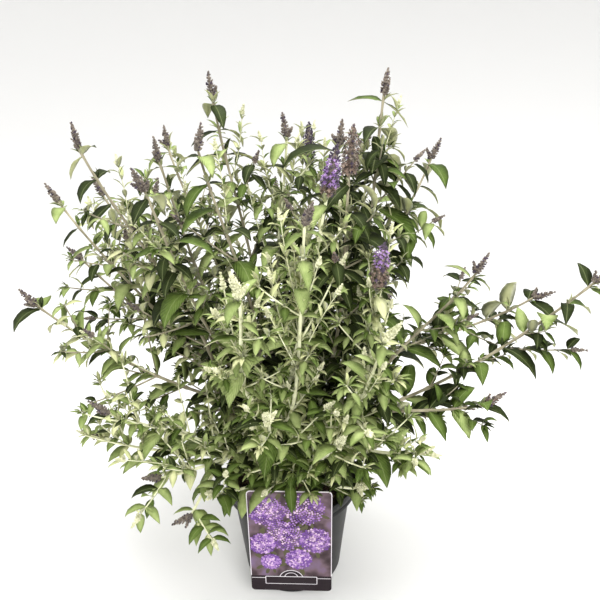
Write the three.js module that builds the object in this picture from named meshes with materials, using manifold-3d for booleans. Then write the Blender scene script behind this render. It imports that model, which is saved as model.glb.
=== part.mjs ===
// A butterfly bush in its nursery pot: a low woody stool that forks into a dozen boughs, each bough
// splitting into leafy shoots tipped with slender flower spikes, and a picture card hooked over the rim.
// Millimetres, +Z up. The origin is the centre of the pot's flat underside, and the card faces -Y.
// Directions are given as an azimuth from +X towards +Y and an elevation above the horizon, in degrees.
import * as THREE from "three";
import { mergeVertices } from "three/addons/utils/BufferGeometryUtils.js";
import Module from "manifold-3d";

const wasm = await Module();
wasm.setup();

// ---------- driving dimensions ----------

const clearance = 0.3; // between pieces that rest on or meet each other
const hair = 0.01; // edges shorter than this are closed up when pieces are fused
const weld = 1e-4; // corners closer than this are one corner
const ownGap = 0.05; // between two pieces of one shoot that don't spring from each other
const seating = { reach: 40, rounds: 4 }; // how a limb is brought up to what carries it
const seeds = { first: 1, step: 100 };

const pot = { height: 185, foot: 80, shoulder: 96, lip: 107, lipHeight: 22, wall: 2.4, floor: 3,
  chamfer: 4, edge: 1, sides: 32 };
const soil = { edge: 160, crown: 166, flat: 34, slope: 54, slopeDrop: 2, shrink: 0.6, foot: 1.5 };
const card = { width: 124, height: 196, foot: 39, thick: 1.3, corner: 6, cornerSteps: 4, offset: 3,
  hookWidth: 30, hookDepth: 20, hookIn: 2.6 };
const stool = { flare: 30, collar: 24, collarAt: 0.72, waist: 21, waistAt: 0.35, head: 22, height: 24,
  domeRings: [30, 60], sides: 10 };
const bough = { thick: 4.2, thin: 2.6, knuckle: 4.4, sides: 5, steps: 4 };
const shoot = { thick: 1.7, thin: 0.9, splay: 36, lift: 0.3, internode: 100, crowding: 0.35,
  firstNode: 12, lastNode: 6, sides: 3, steps: 5 };
const twig = { long: 125, short: 55, thick: 1.2, thin: 0.8, lean: 48, rise: 0.18, aside: 35, last: 0.8,
  nodes: [0.5, 0.86], end: 0.96 };
const leaf = { long: 84, short: 52, taper: 1.5, slim: 0.38, thick: 0.018, lean: 58, scatter: 30, sag: 0.42,
  widest: 0.42, arch: 0.1,
  tries: [[0, 1], [35, 0.95], [-35, 0.95], [65, 0.85], [-65, 0.85], [0, 0.7]] }; // [turned, scale]
const spike = { long: 34, radius: 4.4, overlap: 0.9, twigShare: 0.62, widest: 0.3, sides: 4 };
const panicle = { long: 58, radius: 11 }; // a spike in flower
const inFlower = ["front_3", "right_front_2", "right_top_3", "top_2"];

// How much like things differ: each varies from least to least + spread times its named size.
const vary = {
  leafSize: { least: 0.85, spread: 0.3 }, twigLeafSize: { least: 0.85, spread: 0.4 },
  twigLength: { least: 0.75, spread: 0.5 }, sag: { least: 0.6, spread: 1 },
};

// Each outer bough leaves the stool at a low angle and each inner one steeply. azimuth, reach and height
// place its knuckle; each of its shoots is [azimuth, reach, height] of the shoot's topmost tip.
const boughs = {
  left_low: { azimuth: 215, elevation: 40, reach: 108, height: 258,
    shoots: [[186, 318, 278], [205, 285, 389], [221, 250, 300], [232, 228, 226]] },
  left_far: { azimuth: 183, elevation: 42, reach: 108, height: 325,
    shoots: [[183, 378, 507], [173, 340, 646], [186, 266, 734]] },
  left_back: { azimuth: 150, elevation: 42, reach: 105, height: 325,
    shoots: [[159, 392, 521], [151, 370, 622], [141, 252, 706]] },
  left_top: { azimuth: 172, elevation: 70, reach: 50, height: 350,
    shoots: [[149, 117, 787], [201, 114, 734], [167, 186, 706], [217, 198, 700]] },
  top: { azimuth: 78, elevation: 70, reach: 42, height: 372,
    shoots: [[88, 60, 735], [77, 144, 706], [40, 150, 711]] },
  right_top: { azimuth: 355, elevation: 70, reach: 46, height: 348,
    shoots: [[17, 140, 790], [0, 74, 732], [325, 105, 728]] },
  right_back: { azimuth: 36, elevation: 42, reach: 108, height: 318,
    shoots: [[32, 262, 687], [11, 406, 475]] },
  right_far: { azimuth: 358, elevation: 42, reach: 112, height: 296,
    shoots: [[353, 424, 556], [356, 272, 560], [341, 310, 388]] },
  right_front: { azimuth: 320, elevation: 40, reach: 100, height: 282,
    shoots: [[320, 250, 352], [310, 184, 610], [299, 252, 560]] },
  front: { azimuth: 262, elevation: 70, reach: 62, height: 322,
    shoots: [[262, 240, 618], [281, 184, 680], [303, 118, 712]] },
  front_low: { azimuth: 277, elevation: 42, reach: 92, height: 276,
    shoots: [[268, 248, 468], [289, 236, 418]] },
  back: { azimuth: 93, elevation: 44, reach: 95, height: 325,
    shoots: [[97, 278, 600], [68, 300, 500], [116, 292, 468]] },
};

// Shoots that spring from the stool itself, close to the soil: [azimuth, reach, height] of the tip.
const basalElevation = 12;
const basal = {
  basal_left: [178, 214, 262],
  basal_front_left: [233, 186, 262],
  basal_front_right: [309, 186, 276],
  basal_right: [8, 232, 296],
  basal_back_right: [56, 322, 388],
  basal_back: [80, 262, 318],
  basal_back_left: [127, 330, 416],
};

const finishes = {
  pot: { color: 0x2b2c2c, roughness: 0.45 }, soil: { color: 0x3a2c20, roughness: 1 },
  card: { color: 0x8a78c8, roughness: 0.3 }, stool: { color: 0x7d6a50, roughness: 0.9 },
  bough: { color: 0x9a8a66, roughness: 0.9 }, foliage: { color: 0x5d7a45, roughness: 0.8 },
};

// ---------- small tools ----------

const up = new THREE.Vector3(0, 0, 1);

// Repeatable random numbers between 0 and 1 from a whole-number seed, by a linear congruential rule.
function seeded(seed) {
  let state = (seed * 2654435761) >>> 0;
  return () => {
    state = (Math.imul(state, 1664525) + 1013904223) >>> 0;
    return state / 2 ** 32;
  };
}

function polar(azimuth, elevation) {
  const a = THREE.MathUtils.degToRad(azimuth);
  const e = THREE.MathUtils.degToRad(elevation);
  return new THREE.Vector3(Math.cos(a) * Math.cos(e), Math.sin(a) * Math.cos(e), Math.sin(e));
}

function place([azimuth, reach, height]) {
  return polar(azimuth, 0).multiplyScalar(reach).setZ(height);
}

// A unit vector square to direction, turned by an angle in degrees; 0 is level wherever that is possible.
function square(direction, angle) {
  const nearlyUpright = 0.95;
  const guide = Math.abs(direction.z) < nearlyUpright ? up : new THREE.Vector3(1, 0, 0);
  const level = new THREE.Vector3().crossVectors(guide, direction).normalize();
  return level.applyAxisAngle(direction, THREE.MathUtils.degToRad(angle));
}

function solidOf(geometry) {
  const bare = geometry.clone();
  bare.deleteAttribute("normal");
  bare.deleteAttribute("uv");
  const merged = mergeVertices(bare, weld);
  return new wasm.Manifold(
    new wasm.Mesh({
      numProp: 3,
      vertProperties: merged.getAttribute("position").array,
      triVerts: new Uint32Array(merged.index.array),
    }),
  );
}

function geometryOf(solid) {
  const mesh = solid.getMesh();
  const geometry = new THREE.BufferGeometry();
  geometry.setAttribute("position", new THREE.BufferAttribute(mesh.vertProperties, 3));
  geometry.setIndex(new THREE.BufferAttribute(mesh.triVerts, 1));
  geometry.computeVertexNormals();
  return geometry;
}

// A tapering limb: a closed cylinder whose rings are carried along a curve.
function limbGeometry(curve, thick, thin, sides, steps) {
  const geometry = new THREE.CylinderGeometry(thin, thick, 1, sides, steps);
  const { normals, binormals } = curve.computeFrenetFrames(steps, false);
  const position = geometry.getAttribute("position");
  for (let i = 0; i < position.count; i++) {
    const step = Math.round((position.getY(i) + 0.5) * steps);
    const point = curve.getPointAt(step / steps);
    point.addScaledVector(normals[step], position.getZ(i));
    point.addScaledVector(binormals[step], position.getX(i));
    position.setXYZ(i, point.x, point.y, point.z);
  }
  return geometry;
}

// The middle of a limb of so many steps at a share of its length, which lies on its chords.
function middleOf(curve, steps, share) {
  const step = Math.min(Math.floor(share * steps), steps - 1);
  const [from, to] = [curve.getPointAt(step / steps), curve.getPointAt((step + 1) / steps)];
  return from.lerp(to, share * steps - step);
}

// A revolved shape whose profile runs along direction from a root point.
function turnedGeometry(profile, sides, root, direction) {
  const points = profile.map(([radius, along]) => new THREE.Vector2(radius, along));
  const geometry = new THREE.LatheGeometry(points, sides);
  geometry.applyQuaternion(new THREE.Quaternion().setFromUnitVectors(new THREE.Vector3(0, 1, 0), direction));
  return geometry.translate(root.x, root.y, root.z);
}

// ---------- pot, soil and card ----------

function potWall(height) {
  return pot.foot + ((pot.shoulder - pot.foot) * height) / (pot.height - pot.lipHeight);
}

function potGeometry() {
  const { height, foot, lip, wall, floor, chamfer, edge } = pot;
  const step = height - pot.lipHeight; // where the wall steps out into the collar
  const profile = [
    [0, 0], [foot - chamfer, 0], [potWall(chamfer), chamfer], [potWall(step), step], [lip - edge, step],
    [lip, step + edge], [lip, height - edge], [lip - edge, height],
    [lip - wall, height], [lip - wall, step + wall],
    [potWall(step) - wall, step + wall - edge], [potWall(floor) - wall - edge, floor], [0, floor],
  ];
  return turnedGeometry(profile, pot.sides, new THREE.Vector3(), up);
}

function soilGeometry() {
  const inner = (height) => potWall(height) - pot.wall - clearance - soil.shrink;
  const low = pot.floor + clearance;
  const profile = [
    [0, low], [inner(low) - soil.foot, low], [inner(soil.edge), soil.edge],
    [soil.slope, soil.crown - soil.slopeDrop], [soil.flat, soil.crown], [0, soil.crown],
  ];
  return turnedGeometry(profile, pot.sides / 2, new THREE.Vector3(), up);
}

// A flat card with round corners, hanging from a strap that hooks over the collar and down inside it.
function cardGeometry() {
  const { width, height, corner } = card;
  const face = new THREE.Shape();
  face.absarc(width / 2 - corner, corner, corner, -Math.PI / 2, 0);
  face.absarc(width / 2 - corner, height - corner, corner, 0, Math.PI / 2);
  face.absarc(-width / 2 + corner, height - corner, corner, Math.PI / 2, Math.PI);
  face.absarc(-width / 2 + corner, corner, corner, Math.PI, Math.PI * 1.5);
  const plate = new THREE.ExtrudeGeometry(face, {
    depth: card.thick, bevelEnabled: false, curveSegments: card.cornerSteps,
  });
  plate.rotateX(Math.PI / 2).translate(0, -pot.lip - clearance, card.foot);

  const outside = -pot.lip - clearance - card.thick / 2;
  const top = pot.height + clearance + card.thick;
  const inside = -pot.lip + pot.wall + card.hookIn; // clears the collar's round inner face
  const hook = new THREE.Shape();
  hook.moveTo(outside, top - card.thick);
  hook.lineTo(inside, top - card.thick);
  hook.lineTo(inside, top - card.hookDepth);
  hook.lineTo(inside + card.thick, top - card.hookDepth);
  hook.lineTo(inside + card.thick, top);
  hook.lineTo(outside, top);
  const strap = new THREE.ExtrudeGeometry(hook, { depth: card.hookWidth, bevelEnabled: false });
  strap.applyMatrix4(new THREE.Matrix4().makeBasis(
    new THREE.Vector3(0, 1, 0), up, new THREE.Vector3(1, 0, 0),
  ));
  strap.translate(-card.hookWidth / 2, 0, 0);
  return geometryOf(solidOf(plate).add(solidOf(strap))).translate(card.offset, 0, 0);
}

// ---------- woody parts ----------

const heart = new THREE.Vector3(0, 0, soil.crown + clearance + stool.height); // centre of the stool's head

function stoolGeometry() {
  const { flare, collar, collarAt, waist, waistAt, head, height } = stool;
  const profile = [
    [0, -height], [flare, -height], [collar, -height * collarAt], [waist, -height * waistAt], [head, 0],
  ];
  for (const angle of stool.domeRings) {
    const a = THREE.MathUtils.degToRad(angle);
    profile.push([head * Math.cos(a), head * Math.sin(a)]);
  }
  profile.push([0, head]);
  return turnedGeometry(profile, stool.sides, heart, up);
}

// The point on a heading from a carrier's centre where the flat end of a limb is the clearance away from it.
function seat(carrier, centre, heading, radius, sides) {
  const point = centre.clone().addScaledVector(heading, seating.reach);
  for (let i = 0; i < seating.rounds; i++) {
    const line = new THREE.LineCurve3(point, point.clone().addScaledVector(heading, radius));
    const probe = solidOf(limbGeometry(line, radius, radius, sides, 1));
    point.addScaledVector(heading, clearance - probe.minGap(carrier, seating.reach));
  }
  return point;
}

function boughCurve({ azimuth, elevation, reach, height }) {
  const heading = polar(azimuth, elevation);
  const start = seat(stoolSolid, heart, heading, bough.thick, bough.sides);
  const end = place([azimuth, reach, height]);
  const control = start.clone().addScaledVector(heading, start.distanceTo(end) * 0.5);
  return new THREE.QuadraticBezierCurve3(start, control, end);
}

const stoolSolid = solidOf(stoolGeometry());

// The limb and the swollen knuckle at its end, where its shoots spring.
function boughSolid(curve) {
  const limb = limbGeometry(curve, bough.thick, bough.thin, bough.sides, bough.steps);
  const end = curve.getPoint(1);
  const knuckle = new THREE.IcosahedronGeometry(bough.knuckle, 0).translate(end.x, end.y, end.z);
  return solidOf(limb).add(solidOf(knuckle));
}

// ---------- leafy shoots ----------

// Headings that spread a bough's shoots evenly round its end, each on the side where its tip lies.
function splayedHeadings(curve, tips) {
  const axis = curve.getTangent(1);
  const end = curve.getPoint(1);
  const [across, over] = [square(axis, 0), square(axis, 90)];
  const bearing = (tip) => {
    const way = tip.clone().sub(end);
    return THREE.MathUtils.radToDeg(Math.atan2(way.dot(over), way.dot(across)));
  };
  const order = tips.map((tip, i) => ({ i, angle: bearing(tip) })).sort((a, b) => a.angle - b.angle);
  const share = 360 / tips.length;
  const offset = order.reduce((sum, { angle }, rank) => sum + angle - rank * share, 0) / tips.length;
  const headings = [];
  order.forEach(({ i }, rank) => {
    const outward = square(axis, offset + rank * share);
    const splay = THREE.MathUtils.degToRad(shoot.splay);
    headings[i] = axis.clone().multiplyScalar(Math.cos(splay)).addScaledVector(outward, Math.sin(splay));
  });
  return headings;
}

function stemCurve(start, heading, tip) {
  const pull = start.distanceTo(tip) / 3;
  const arrival = tip.clone().sub(start).normalize().addScaledVector(up, shoot.lift).normalize();
  return new THREE.CubicBezierCurve3(
    start,
    start.clone().addScaledVector(heading, pull),
    tip.clone().addScaledVector(arrival, -pull),
    tip,
  );
}

// A leaf is a blade of six faces that arches down to its tip: four above, round the rib, and two below.
function leafGeometry(root, direction, length) {
  const side = square(direction, 0);
  const over = new THREE.Vector3().crossVectors(direction, side);
  const at = (along, across, rise) => root.clone().addScaledVector(direction, along * length)
    .addScaledVector(side, across * length).addScaledVector(over, rise * length);
  const half = leaf.slim / 2;
  const corners = [
    root, at(leaf.widest, half, leaf.arch), at(leaf.widest, -half, leaf.arch),
    at(leaf.widest, 0, leaf.arch + leaf.thick), at(1, 0, -leaf.arch),
  ];
  const [foot, left, right, rib, tip] = corners.keys();
  const geometry = new THREE.BufferGeometry().setFromPoints(corners);
  geometry.setIndex([
    foot, rib, left, foot, right, rib, tip, left, rib,
    tip, rib, right, foot, left, right, tip, right, left,
  ]);
  return geometry;
}

function spikeGeometry(root, direction, long, radius) {
  return turnedGeometry([[0, 0], [radius, spike.widest * long], [0, long]], spike.sides, root, direction);
}

// Which way a leaf or twig points: leaning out from the stem, then bent by its own weight.
function leaning(tangent, turn, lean, sag) {
  const angle = THREE.MathUtils.degToRad(lean);
  const way = tangent.clone().multiplyScalar(Math.cos(angle));
  way.addScaledVector(square(tangent, turn), Math.sin(angle));
  return way.addScaledVector(up, -sag).normalize();
}

// The stem, twigs, leaves and spikes of one shoot, in the order they grow. Each entry names the piece that
// it springs from, so that it can be left out with it, and holds the shapes to try for it, best first.
function growShoot(stem, seed, top = spike) {
  const random = seeded(seed);
  const varied = ({ least, spread }) => least + spread * random();
  const pieces = [];
  const add = (kind, parent, root, ...tries) => pieces.push({ kind, parent, root, tries }) - 1;
  const { thick, thin, sides, steps } = shoot;
  const trunk = add("stem", -1, stem.v0, limbGeometry(stem, thick, thin, sides, steps));
  const length = stem.getLength();
  const bud = middleOf(stem, steps, 1 - (spike.overlap * top.long) / length);
  add("spike", trunk, bud, spikeGeometry(bud, stem.getTangentAt(1), top.long, top.radius));

  let turn = random() * 180;
  let count = 0;
  for (let along = length - top.long - shoot.lastNode; along > shoot.firstNode; count++) {
    const share = along / length;
    const point = middleOf(stem, steps, share);
    const tangent = stem.getTangentAt(share);
    for (const side of [0, 180]) {
      const size = (leaf.long + (leaf.short - leaf.long) * share ** leaf.taper) * varied(vary.leafSize);
      addLeaf(trunk, point, tangent, turn + side + random() * leaf.scatter - leaf.scatter / 2, size);
    }
    const twigLength = (twig.long + (twig.short - twig.long) * share) * varied(vary.twigLength);
    const twigTurn = turn + (random() < 0.5 ? twig.aside : twig.aside + 180);
    if (share < twig.last && count % 2 === 0) growTwig(point, tangent, twigTurn, twigLength);
    turn += 90;
    along -= shoot.internode * (1 - shoot.crowding * share);
  }
  return pieces;

  // Where a leaf has no room, it is turned a little round its stem, and then made shorter.
  function addLeaf(parent, root, tangent, around, size) {
    const sag = leaf.sag * varied(vary.sag);
    const tries = leaf.tries.map(([turned, scale]) =>
      leafGeometry(root, leaning(tangent, around + turned, leaf.lean, sag), size * scale));
    add("leaf", parent, root, ...tries);
  }

  function growTwig(root, tangent, around, reach) {
    const heading = leaning(tangent, around, twig.lean, 0).addScaledVector(up, twig.rise).normalize();
    const line = new THREE.LineCurve3(root, root.clone().addScaledVector(heading, reach));
    const branch = add("twig", trunk, root, limbGeometry(line, twig.thick, twig.thin, shoot.sides, 1));
    const end = line.getPoint(twig.end);
    const { long, radius, twigShare } = spike;
    add("spike", branch, end, spikeGeometry(end, heading, long * twigShare, radius * twigShare));
    let spin = random() * 180;
    for (const share of twig.nodes) {
      const point = line.getPoint(share);
      for (const side of [0, 180]) {
        addLeaf(branch, point, heading, spin + side, leaf.short * varied(vary.twigLeafSize));
      }
      spin += 90;
    }
  }
}

// ---------- fitting the shoots among each other ----------

const placed = []; // every solid that a later piece has to keep clear of, with its box and owner

function near(a, b, margin) {
  return [0, 1, 2].every((k) => a.min[k] - margin < b.max[k] && b.min[k] - margin < a.max[k]);
}

function keep(owner, solid) {
  const item = { owner, solid, box: solid.boundingBox() };
  placed.push(item);
  return item;
}

// True if the solid stays clear of other pieces: by the clearance of another owner's, and by less of its
// own shoot's, apart from the piece that it springs from and what springs from the same node.
function isFree(owner, solid, kin) {
  const box = solid.boundingBox();
  if (box.min[2] < clearance) return false;
  return placed.every((item) => {
    if (kin.includes(item) || !near(box, item.box, clearance)) return true;
    const wanted = item.owner === owner ? ownGap : clearance - ownGap;
    return solid.minGap(item.solid, clearance) >= wanted;
  });
}

// Leaves out each piece that would touch a neighbour, and whatever springs from it, then fuses the rest.
function fitShoots(grown) {
  for (const kind of ["stem", "spike", "twig", "leaf"]) {
    for (const { name, pieces } of grown) {
      for (const piece of pieces.filter((p) => p.kind === kind)) {
        const parent = pieces[piece.parent];
        if (parent && !parent.item) continue;
        const kin = pieces.filter((p) => p === parent || p.root === piece.root).map((p) => p.item);
        const solid = piece.tries.map(solidOf).find((candidate) => isFree(name, candidate, kin));
        if (solid) piece.item = keep(name, solid);
      }
    }
  }
  return grown.map(({ name, pieces }) => {
    const solids = pieces.filter((piece) => piece.item).map((piece) => piece.item.solid);
    return { name, solid: wasm.Manifold.union(solids).simplify(hair) };
  });
}

// ---------- assembly ----------

const bush = new THREE.Group();

function addMesh(name, geometry, finish) {
  const material = new THREE.MeshStandardMaterial({ ...finish, metalness: 0, flatShading: true });
  const mesh = new THREE.Mesh(geometry, material);
  mesh.name = name;
  bush.add(mesh);
}

for (const [name, geometry, finish] of [
  ["pot", potGeometry(), finishes.pot],
  ["soil", soilGeometry(), finishes.soil],
  ["picture_card", cardGeometry(), finishes.card],
  ["stool", stoolGeometry(), finishes.stool],
]) {
  keep(name, solidOf(geometry));
  addMesh(name, geometry, finish);
}

const grown = [];

function addShoot(name, start, heading, tip) {
  const seed = seeds.first + seeds.step * grown.length;
  const top = inFlower.includes(name) ? panicle : spike;
  grown.push({ name: `foliage_${name}`, pieces: growShoot(stemCurve(start, heading, tip), seed, top) });
}

for (const [name, sizes] of Object.entries(boughs)) {
  const curve = boughCurve(sizes);
  const solid = boughSolid(curve);
  keep(`bough_${name}`, solid);
  addMesh(`bough_${name}`, geometryOf(solid), finishes.bough);
  const tips = sizes.shoots.map(place);
  splayedHeadings(curve, tips).forEach((heading, i) => {
    const start = seat(solid, curve.v2, heading, shoot.thick, shoot.sides);
    addShoot(`${name}_${i + 1}`, start, heading, tips[i]);
  });
}
for (const [name, tip] of Object.entries(basal)) {
  const heading = polar(tip[0], basalElevation);
  const start = seat(stoolSolid, heart, heading, shoot.thick, shoot.sides);
  addShoot(name, start, heading, place(tip));
}

for (const { name, solid } of fitShoots(grown)) {
  addMesh(name, geometryOf(solid), finishes.foliage);
}

export default bush;
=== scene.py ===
# A butterfly bush in its nursery pot: the pot, soil and picture card, the woody stool and its boughs,
# and the leafy shoots, which grow by the same seeded rule as the frame's foliage, carried to finer twigs.
import math
import random

import bmesh
import bpy
from mathutils import Matrix, Quaternion, Vector, noise


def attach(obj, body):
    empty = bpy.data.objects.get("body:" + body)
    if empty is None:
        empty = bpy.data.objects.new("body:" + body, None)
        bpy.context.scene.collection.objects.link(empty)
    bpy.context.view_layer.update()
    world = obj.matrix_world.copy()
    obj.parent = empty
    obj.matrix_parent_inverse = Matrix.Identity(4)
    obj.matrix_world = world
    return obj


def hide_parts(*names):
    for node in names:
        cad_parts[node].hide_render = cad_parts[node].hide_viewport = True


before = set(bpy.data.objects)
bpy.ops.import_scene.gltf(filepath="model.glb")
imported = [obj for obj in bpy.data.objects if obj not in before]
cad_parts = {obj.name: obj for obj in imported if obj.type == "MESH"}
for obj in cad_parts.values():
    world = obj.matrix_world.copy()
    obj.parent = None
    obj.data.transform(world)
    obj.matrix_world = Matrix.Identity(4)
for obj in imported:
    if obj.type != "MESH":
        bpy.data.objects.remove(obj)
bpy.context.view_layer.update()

mm = 0.001
boughNodes = [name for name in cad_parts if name.startswith("bough_")]
foliageNodes = [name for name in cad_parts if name.startswith("foliage_")]
up = Vector((0, 0, 1))


# The camera stands in front of the card and looks down on the plant, in metres and degrees.
cameraSetup = {
    "place": (0.0542, -0.7804, 0.8309),
    "down": 23.82,
    "left": 2.61,
    "roll": -0.96,
    "lens": 36,
    "sensor": 36,
}


def makeCamera(setup):
    data = bpy.data.cameras.new("camera")
    data.lens = setup["lens"]
    data.sensor_width = setup["sensor"]
    camera = bpy.data.objects.new("camera", data)
    bpy.context.collection.objects.link(camera)
    turn = Matrix.Rotation(math.radians(setup["left"]), 4, "Z")
    tilt = Matrix.Rotation(math.radians(90 - setup["down"]), 4, "X")
    roll = Matrix.Rotation(math.radians(setup["roll"]), 4, "Z")
    camera.matrix_world = Matrix.Translation(setup["place"]) @ turn @ tilt @ roll
    bpy.context.scene.camera = camera


makeCamera(cameraSetup)
print("camera placed")


# Sockets are given by name, with _ for a space.
def newMaterial(name, **sockets):
    material = bpy.data.materials.new(name)
    material.use_nodes = True
    shader = material.node_tree.nodes["Principled BSDF"]
    for socket, value in sockets.items():
        shader.inputs[socket.replace("_", " ")].default_value = value
    return material, material.node_tree, shader


def shaderNode(tree, kind, inputs=None, **settings):
    node = tree.nodes.new(kind)
    for name, value in settings.items():
        setattr(node, name, value)
    for name, value in (inputs or {}).items():
        if isinstance(value, bpy.types.NodeSocket):
            tree.links.new(value, node.inputs[name])
        else:
            node.inputs[name].default_value = value
    return node


def objectPlace(tree, stretch=(1, 1, 1)):
    coordinates = shaderNode(tree, "ShaderNodeTexCoord")
    inputs = {"Vector": coordinates.outputs["Object"], "Scale": stretch}
    return shaderNode(tree, "ShaderNodeMapping", inputs).outputs["Vector"]


def noiseAt(tree, place, scale, detail=4, roughness=0.55):
    inputs = {"Vector": place, "Scale": scale, "Detail": detail, "Roughness": roughness}
    return shaderNode(tree, "ShaderNodeTexNoise", inputs).outputs["Fac"]


def rampOf(tree, factor, *stops):
    ramp = shaderNode(tree, "ShaderNodeValToRGB", {"Fac": factor})
    elements = ramp.color_ramp.elements
    while len(elements) < len(stops):
        elements.new(0.5)
    for element, (position, colour) in zip(elements, stops):
        element.position = position
        element.color = (*colour, 1)
    return ramp.outputs["Color"]


def bumpFrom(tree, height, strength, distance):
    inputs = {"Height": height, "Strength": strength, "Distance": distance}
    return shaderNode(tree, "ShaderNodeBump", inputs).outputs["Normal"]


def mapTo(tree, value, low, high):
    inputs = {"Value": value, "To Min": low, "To Max": high}
    return shaderNode(tree, "ShaderNodeMapRange", inputs).outputs["Result"]


# A material in object space. Its colour runs over a noise of (scale, detail, roughness). Its relief is
# (noise, strength, depth in metres) and its gloss (noise, lowest roughness, highest roughness).
def noiseMaterial(name, stretch, pattern, stops, relief=None, gloss=None, **sockets):
    material, tree, shader = newMaterial(name, **sockets)
    place = objectPlace(tree, stretch)
    tree.links.new(rampOf(tree, noiseAt(tree, place, *pattern), *stops), shader.inputs["Base Color"])
    if relief:
        height, strength, depth = relief
        bump = bumpFrom(tree, noiseAt(tree, place, *height), strength, depth)
        tree.links.new(bump, shader.inputs["Normal"])
    if gloss:
        dull, low, high = gloss
        roughness = mapTo(tree, noiseAt(tree, place, *dull), low, high)
        tree.links.new(roughness, shader.inputs["Roughness"])
    return material


def mathNode(tree, operation, *values):
    return shaderNode(tree, "ShaderNodeMath", dict(enumerate(values)), operation=operation).outputs[0]


def mixColours(tree, factor, first, second):
    mixed = shaderNode(tree, "ShaderNodeMix", {"Factor": factor}, data_type="RGBA")
    tree.links.new(first, mixed.inputs["A"])
    mixed.inputs["B"].default_value = (*second, 1)
    return mixed.outputs["Result"]


def objectFrom(name, points, faces=(), edges=()):
    mesh = bpy.data.meshes.new(name)
    mesh.from_pydata([tuple(point) for point in points], edges, faces)
    mesh.update()
    thing = bpy.data.objects.new(name, mesh)
    bpy.context.collection.objects.link(thing)
    return thing


def newTree(name, **inputs):
    tree = bpy.data.node_groups.new(name, "GeometryNodeTree")
    tree.interface.new_socket("Geometry", in_out="INPUT", socket_type="NodeSocketGeometry")
    for label, kind in inputs.items():
        tree.interface.new_socket(label, in_out="INPUT", socket_type="NodeSocket" + kind)
    tree.interface.new_socket("Geometry", in_out="OUTPUT", socket_type="NodeSocketGeometry")
    return tree, tree.nodes.new("NodeGroupInput"), tree.nodes.new("NodeGroupOutput")


def namedAttribute(tree, name, kind):
    node = shaderNode(tree, "GeometryNodeInputNamedAttribute", {"Name": name}, data_type=kind)
    return node.outputs["Attribute"]


# Runs a tree on a piece, with its inputs given by name, and leaves a plain mesh.
def applyTree(piece, tree, **values):
    modifier = piece.modifiers.new(tree.name, "NODES")
    modifier.node_group = tree
    for item in tree.interface.items_tree:
        if item.in_out == "INPUT" and item.name in values:
            modifier[item.identifier] = values[item.name]
    takeEvaluated(piece)
    return piece


def takeEvaluated(piece):
    graph = bpy.context.evaluated_depsgraph_get()
    graph.update()
    made = bpy.data.meshes.new_from_object(piece.evaluated_get(graph), depsgraph=graph)
    piece.modifiers.clear()
    piece.data = made
    made.name = piece.name


def joinPieces(name, pieces):
    if len(pieces) > 1:
        with bpy.context.temp_override(active_object=pieces[0], selected_editable_objects=pieces):
            bpy.ops.object.join()
    pieces[0].name = name
    return pieces[0]


def finishPiece(piece, slot, *nodes):
    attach(piece, "root")
    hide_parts(*nodes)


def realized(tree, geometry):
    return shaderNode(tree, "GeometryNodeRealizeInstances", {"Geometry": geometry}).outputs["Geometry"]


def painted(tree, geometry, material, **selection):
    inputs = {"Geometry": geometry, "Material": material, **selection}
    return shaderNode(tree, "GeometryNodeSetMaterial", inputs).outputs["Geometry"]


# A tube along each polyline, as thick as the line's radius attribute says.
def makeTubeTree():
    tree, given, result = newTree("tubesAlongLines", Sides="Int", Material="Material")
    toCurve = shaderNode(tree, "GeometryNodeMeshToCurve", {"Mesh": given.outputs["Geometry"]})
    sides = {"Resolution": given.outputs["Sides"], "Radius": 1.0}
    ring = shaderNode(tree, "GeometryNodeCurvePrimitiveCircle", sides)
    tube = shaderNode(tree, "GeometryNodeCurveToMesh", {
        "Curve": toCurve.outputs["Curve"],
        "Profile Curve": ring.outputs["Curve"],
        "Scale": namedAttribute(tree, "radius", "FLOAT"),
        "Fill Caps": True,
    })
    smooth = shaderNode(tree, "GeometryNodeSetShadeSmooth", {"Geometry": tube.outputs["Mesh"]})
    whole = realized(tree, smooth.outputs["Geometry"])
    tree.links.new(painted(tree, whole, given.outputs["Material"]), result.inputs["Geometry"])
    return tree


# A copy of a model on each point, turned and sized by the point's attributes. Faces that the model marks
# as under get a second material.
def makeSeatTree():
    tree, given, result = newTree("copiesOnPoints", Model="Object", Material="Material", Under="Material")
    model = shaderNode(tree, "GeometryNodeObjectInfo", {"Object": given.outputs["Model"]})
    seats = shaderNode(tree, "GeometryNodeInstanceOnPoints", {
        "Points": given.outputs["Geometry"],
        "Instance": model.outputs["Geometry"],
        "Rotation": namedAttribute(tree, "pose", "QUATERNION"),
        "Scale": namedAttribute(tree, "size", "FLOAT_VECTOR"),
    })
    whole = painted(tree, realized(tree, seats.outputs["Instances"]), given.outputs["Material"])
    under = namedAttribute(tree, "under", "BOOLEAN")
    lined = painted(tree, whole, given.outputs["Under"], Selection=under)
    tree.links.new(lined, result.inputs["Geometry"])
    return tree


tubeTree = makeTubeTree()
seatTree = makeSeatTree()


# Seats are (point, turn, size) in millimetres.
def seatCopies(name, model, seats, material, under=None):
    piece = objectFrom(name, [point * mm for point, turn, size in seats])
    poses = piece.data.attributes.new("pose", "QUATERNION", "POINT")
    poses.data.foreach_set("value", [part for point, turn, size in seats for part in turn])
    sizes = piece.data.attributes.new("size", "FLOAT_VECTOR", "POINT")
    sizes.data.foreach_set("vector", [part * mm for point, turn, size in seats for part in size])
    return applyTree(piece, seatTree, Model=model, Material=material, Under=under or material)


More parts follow.
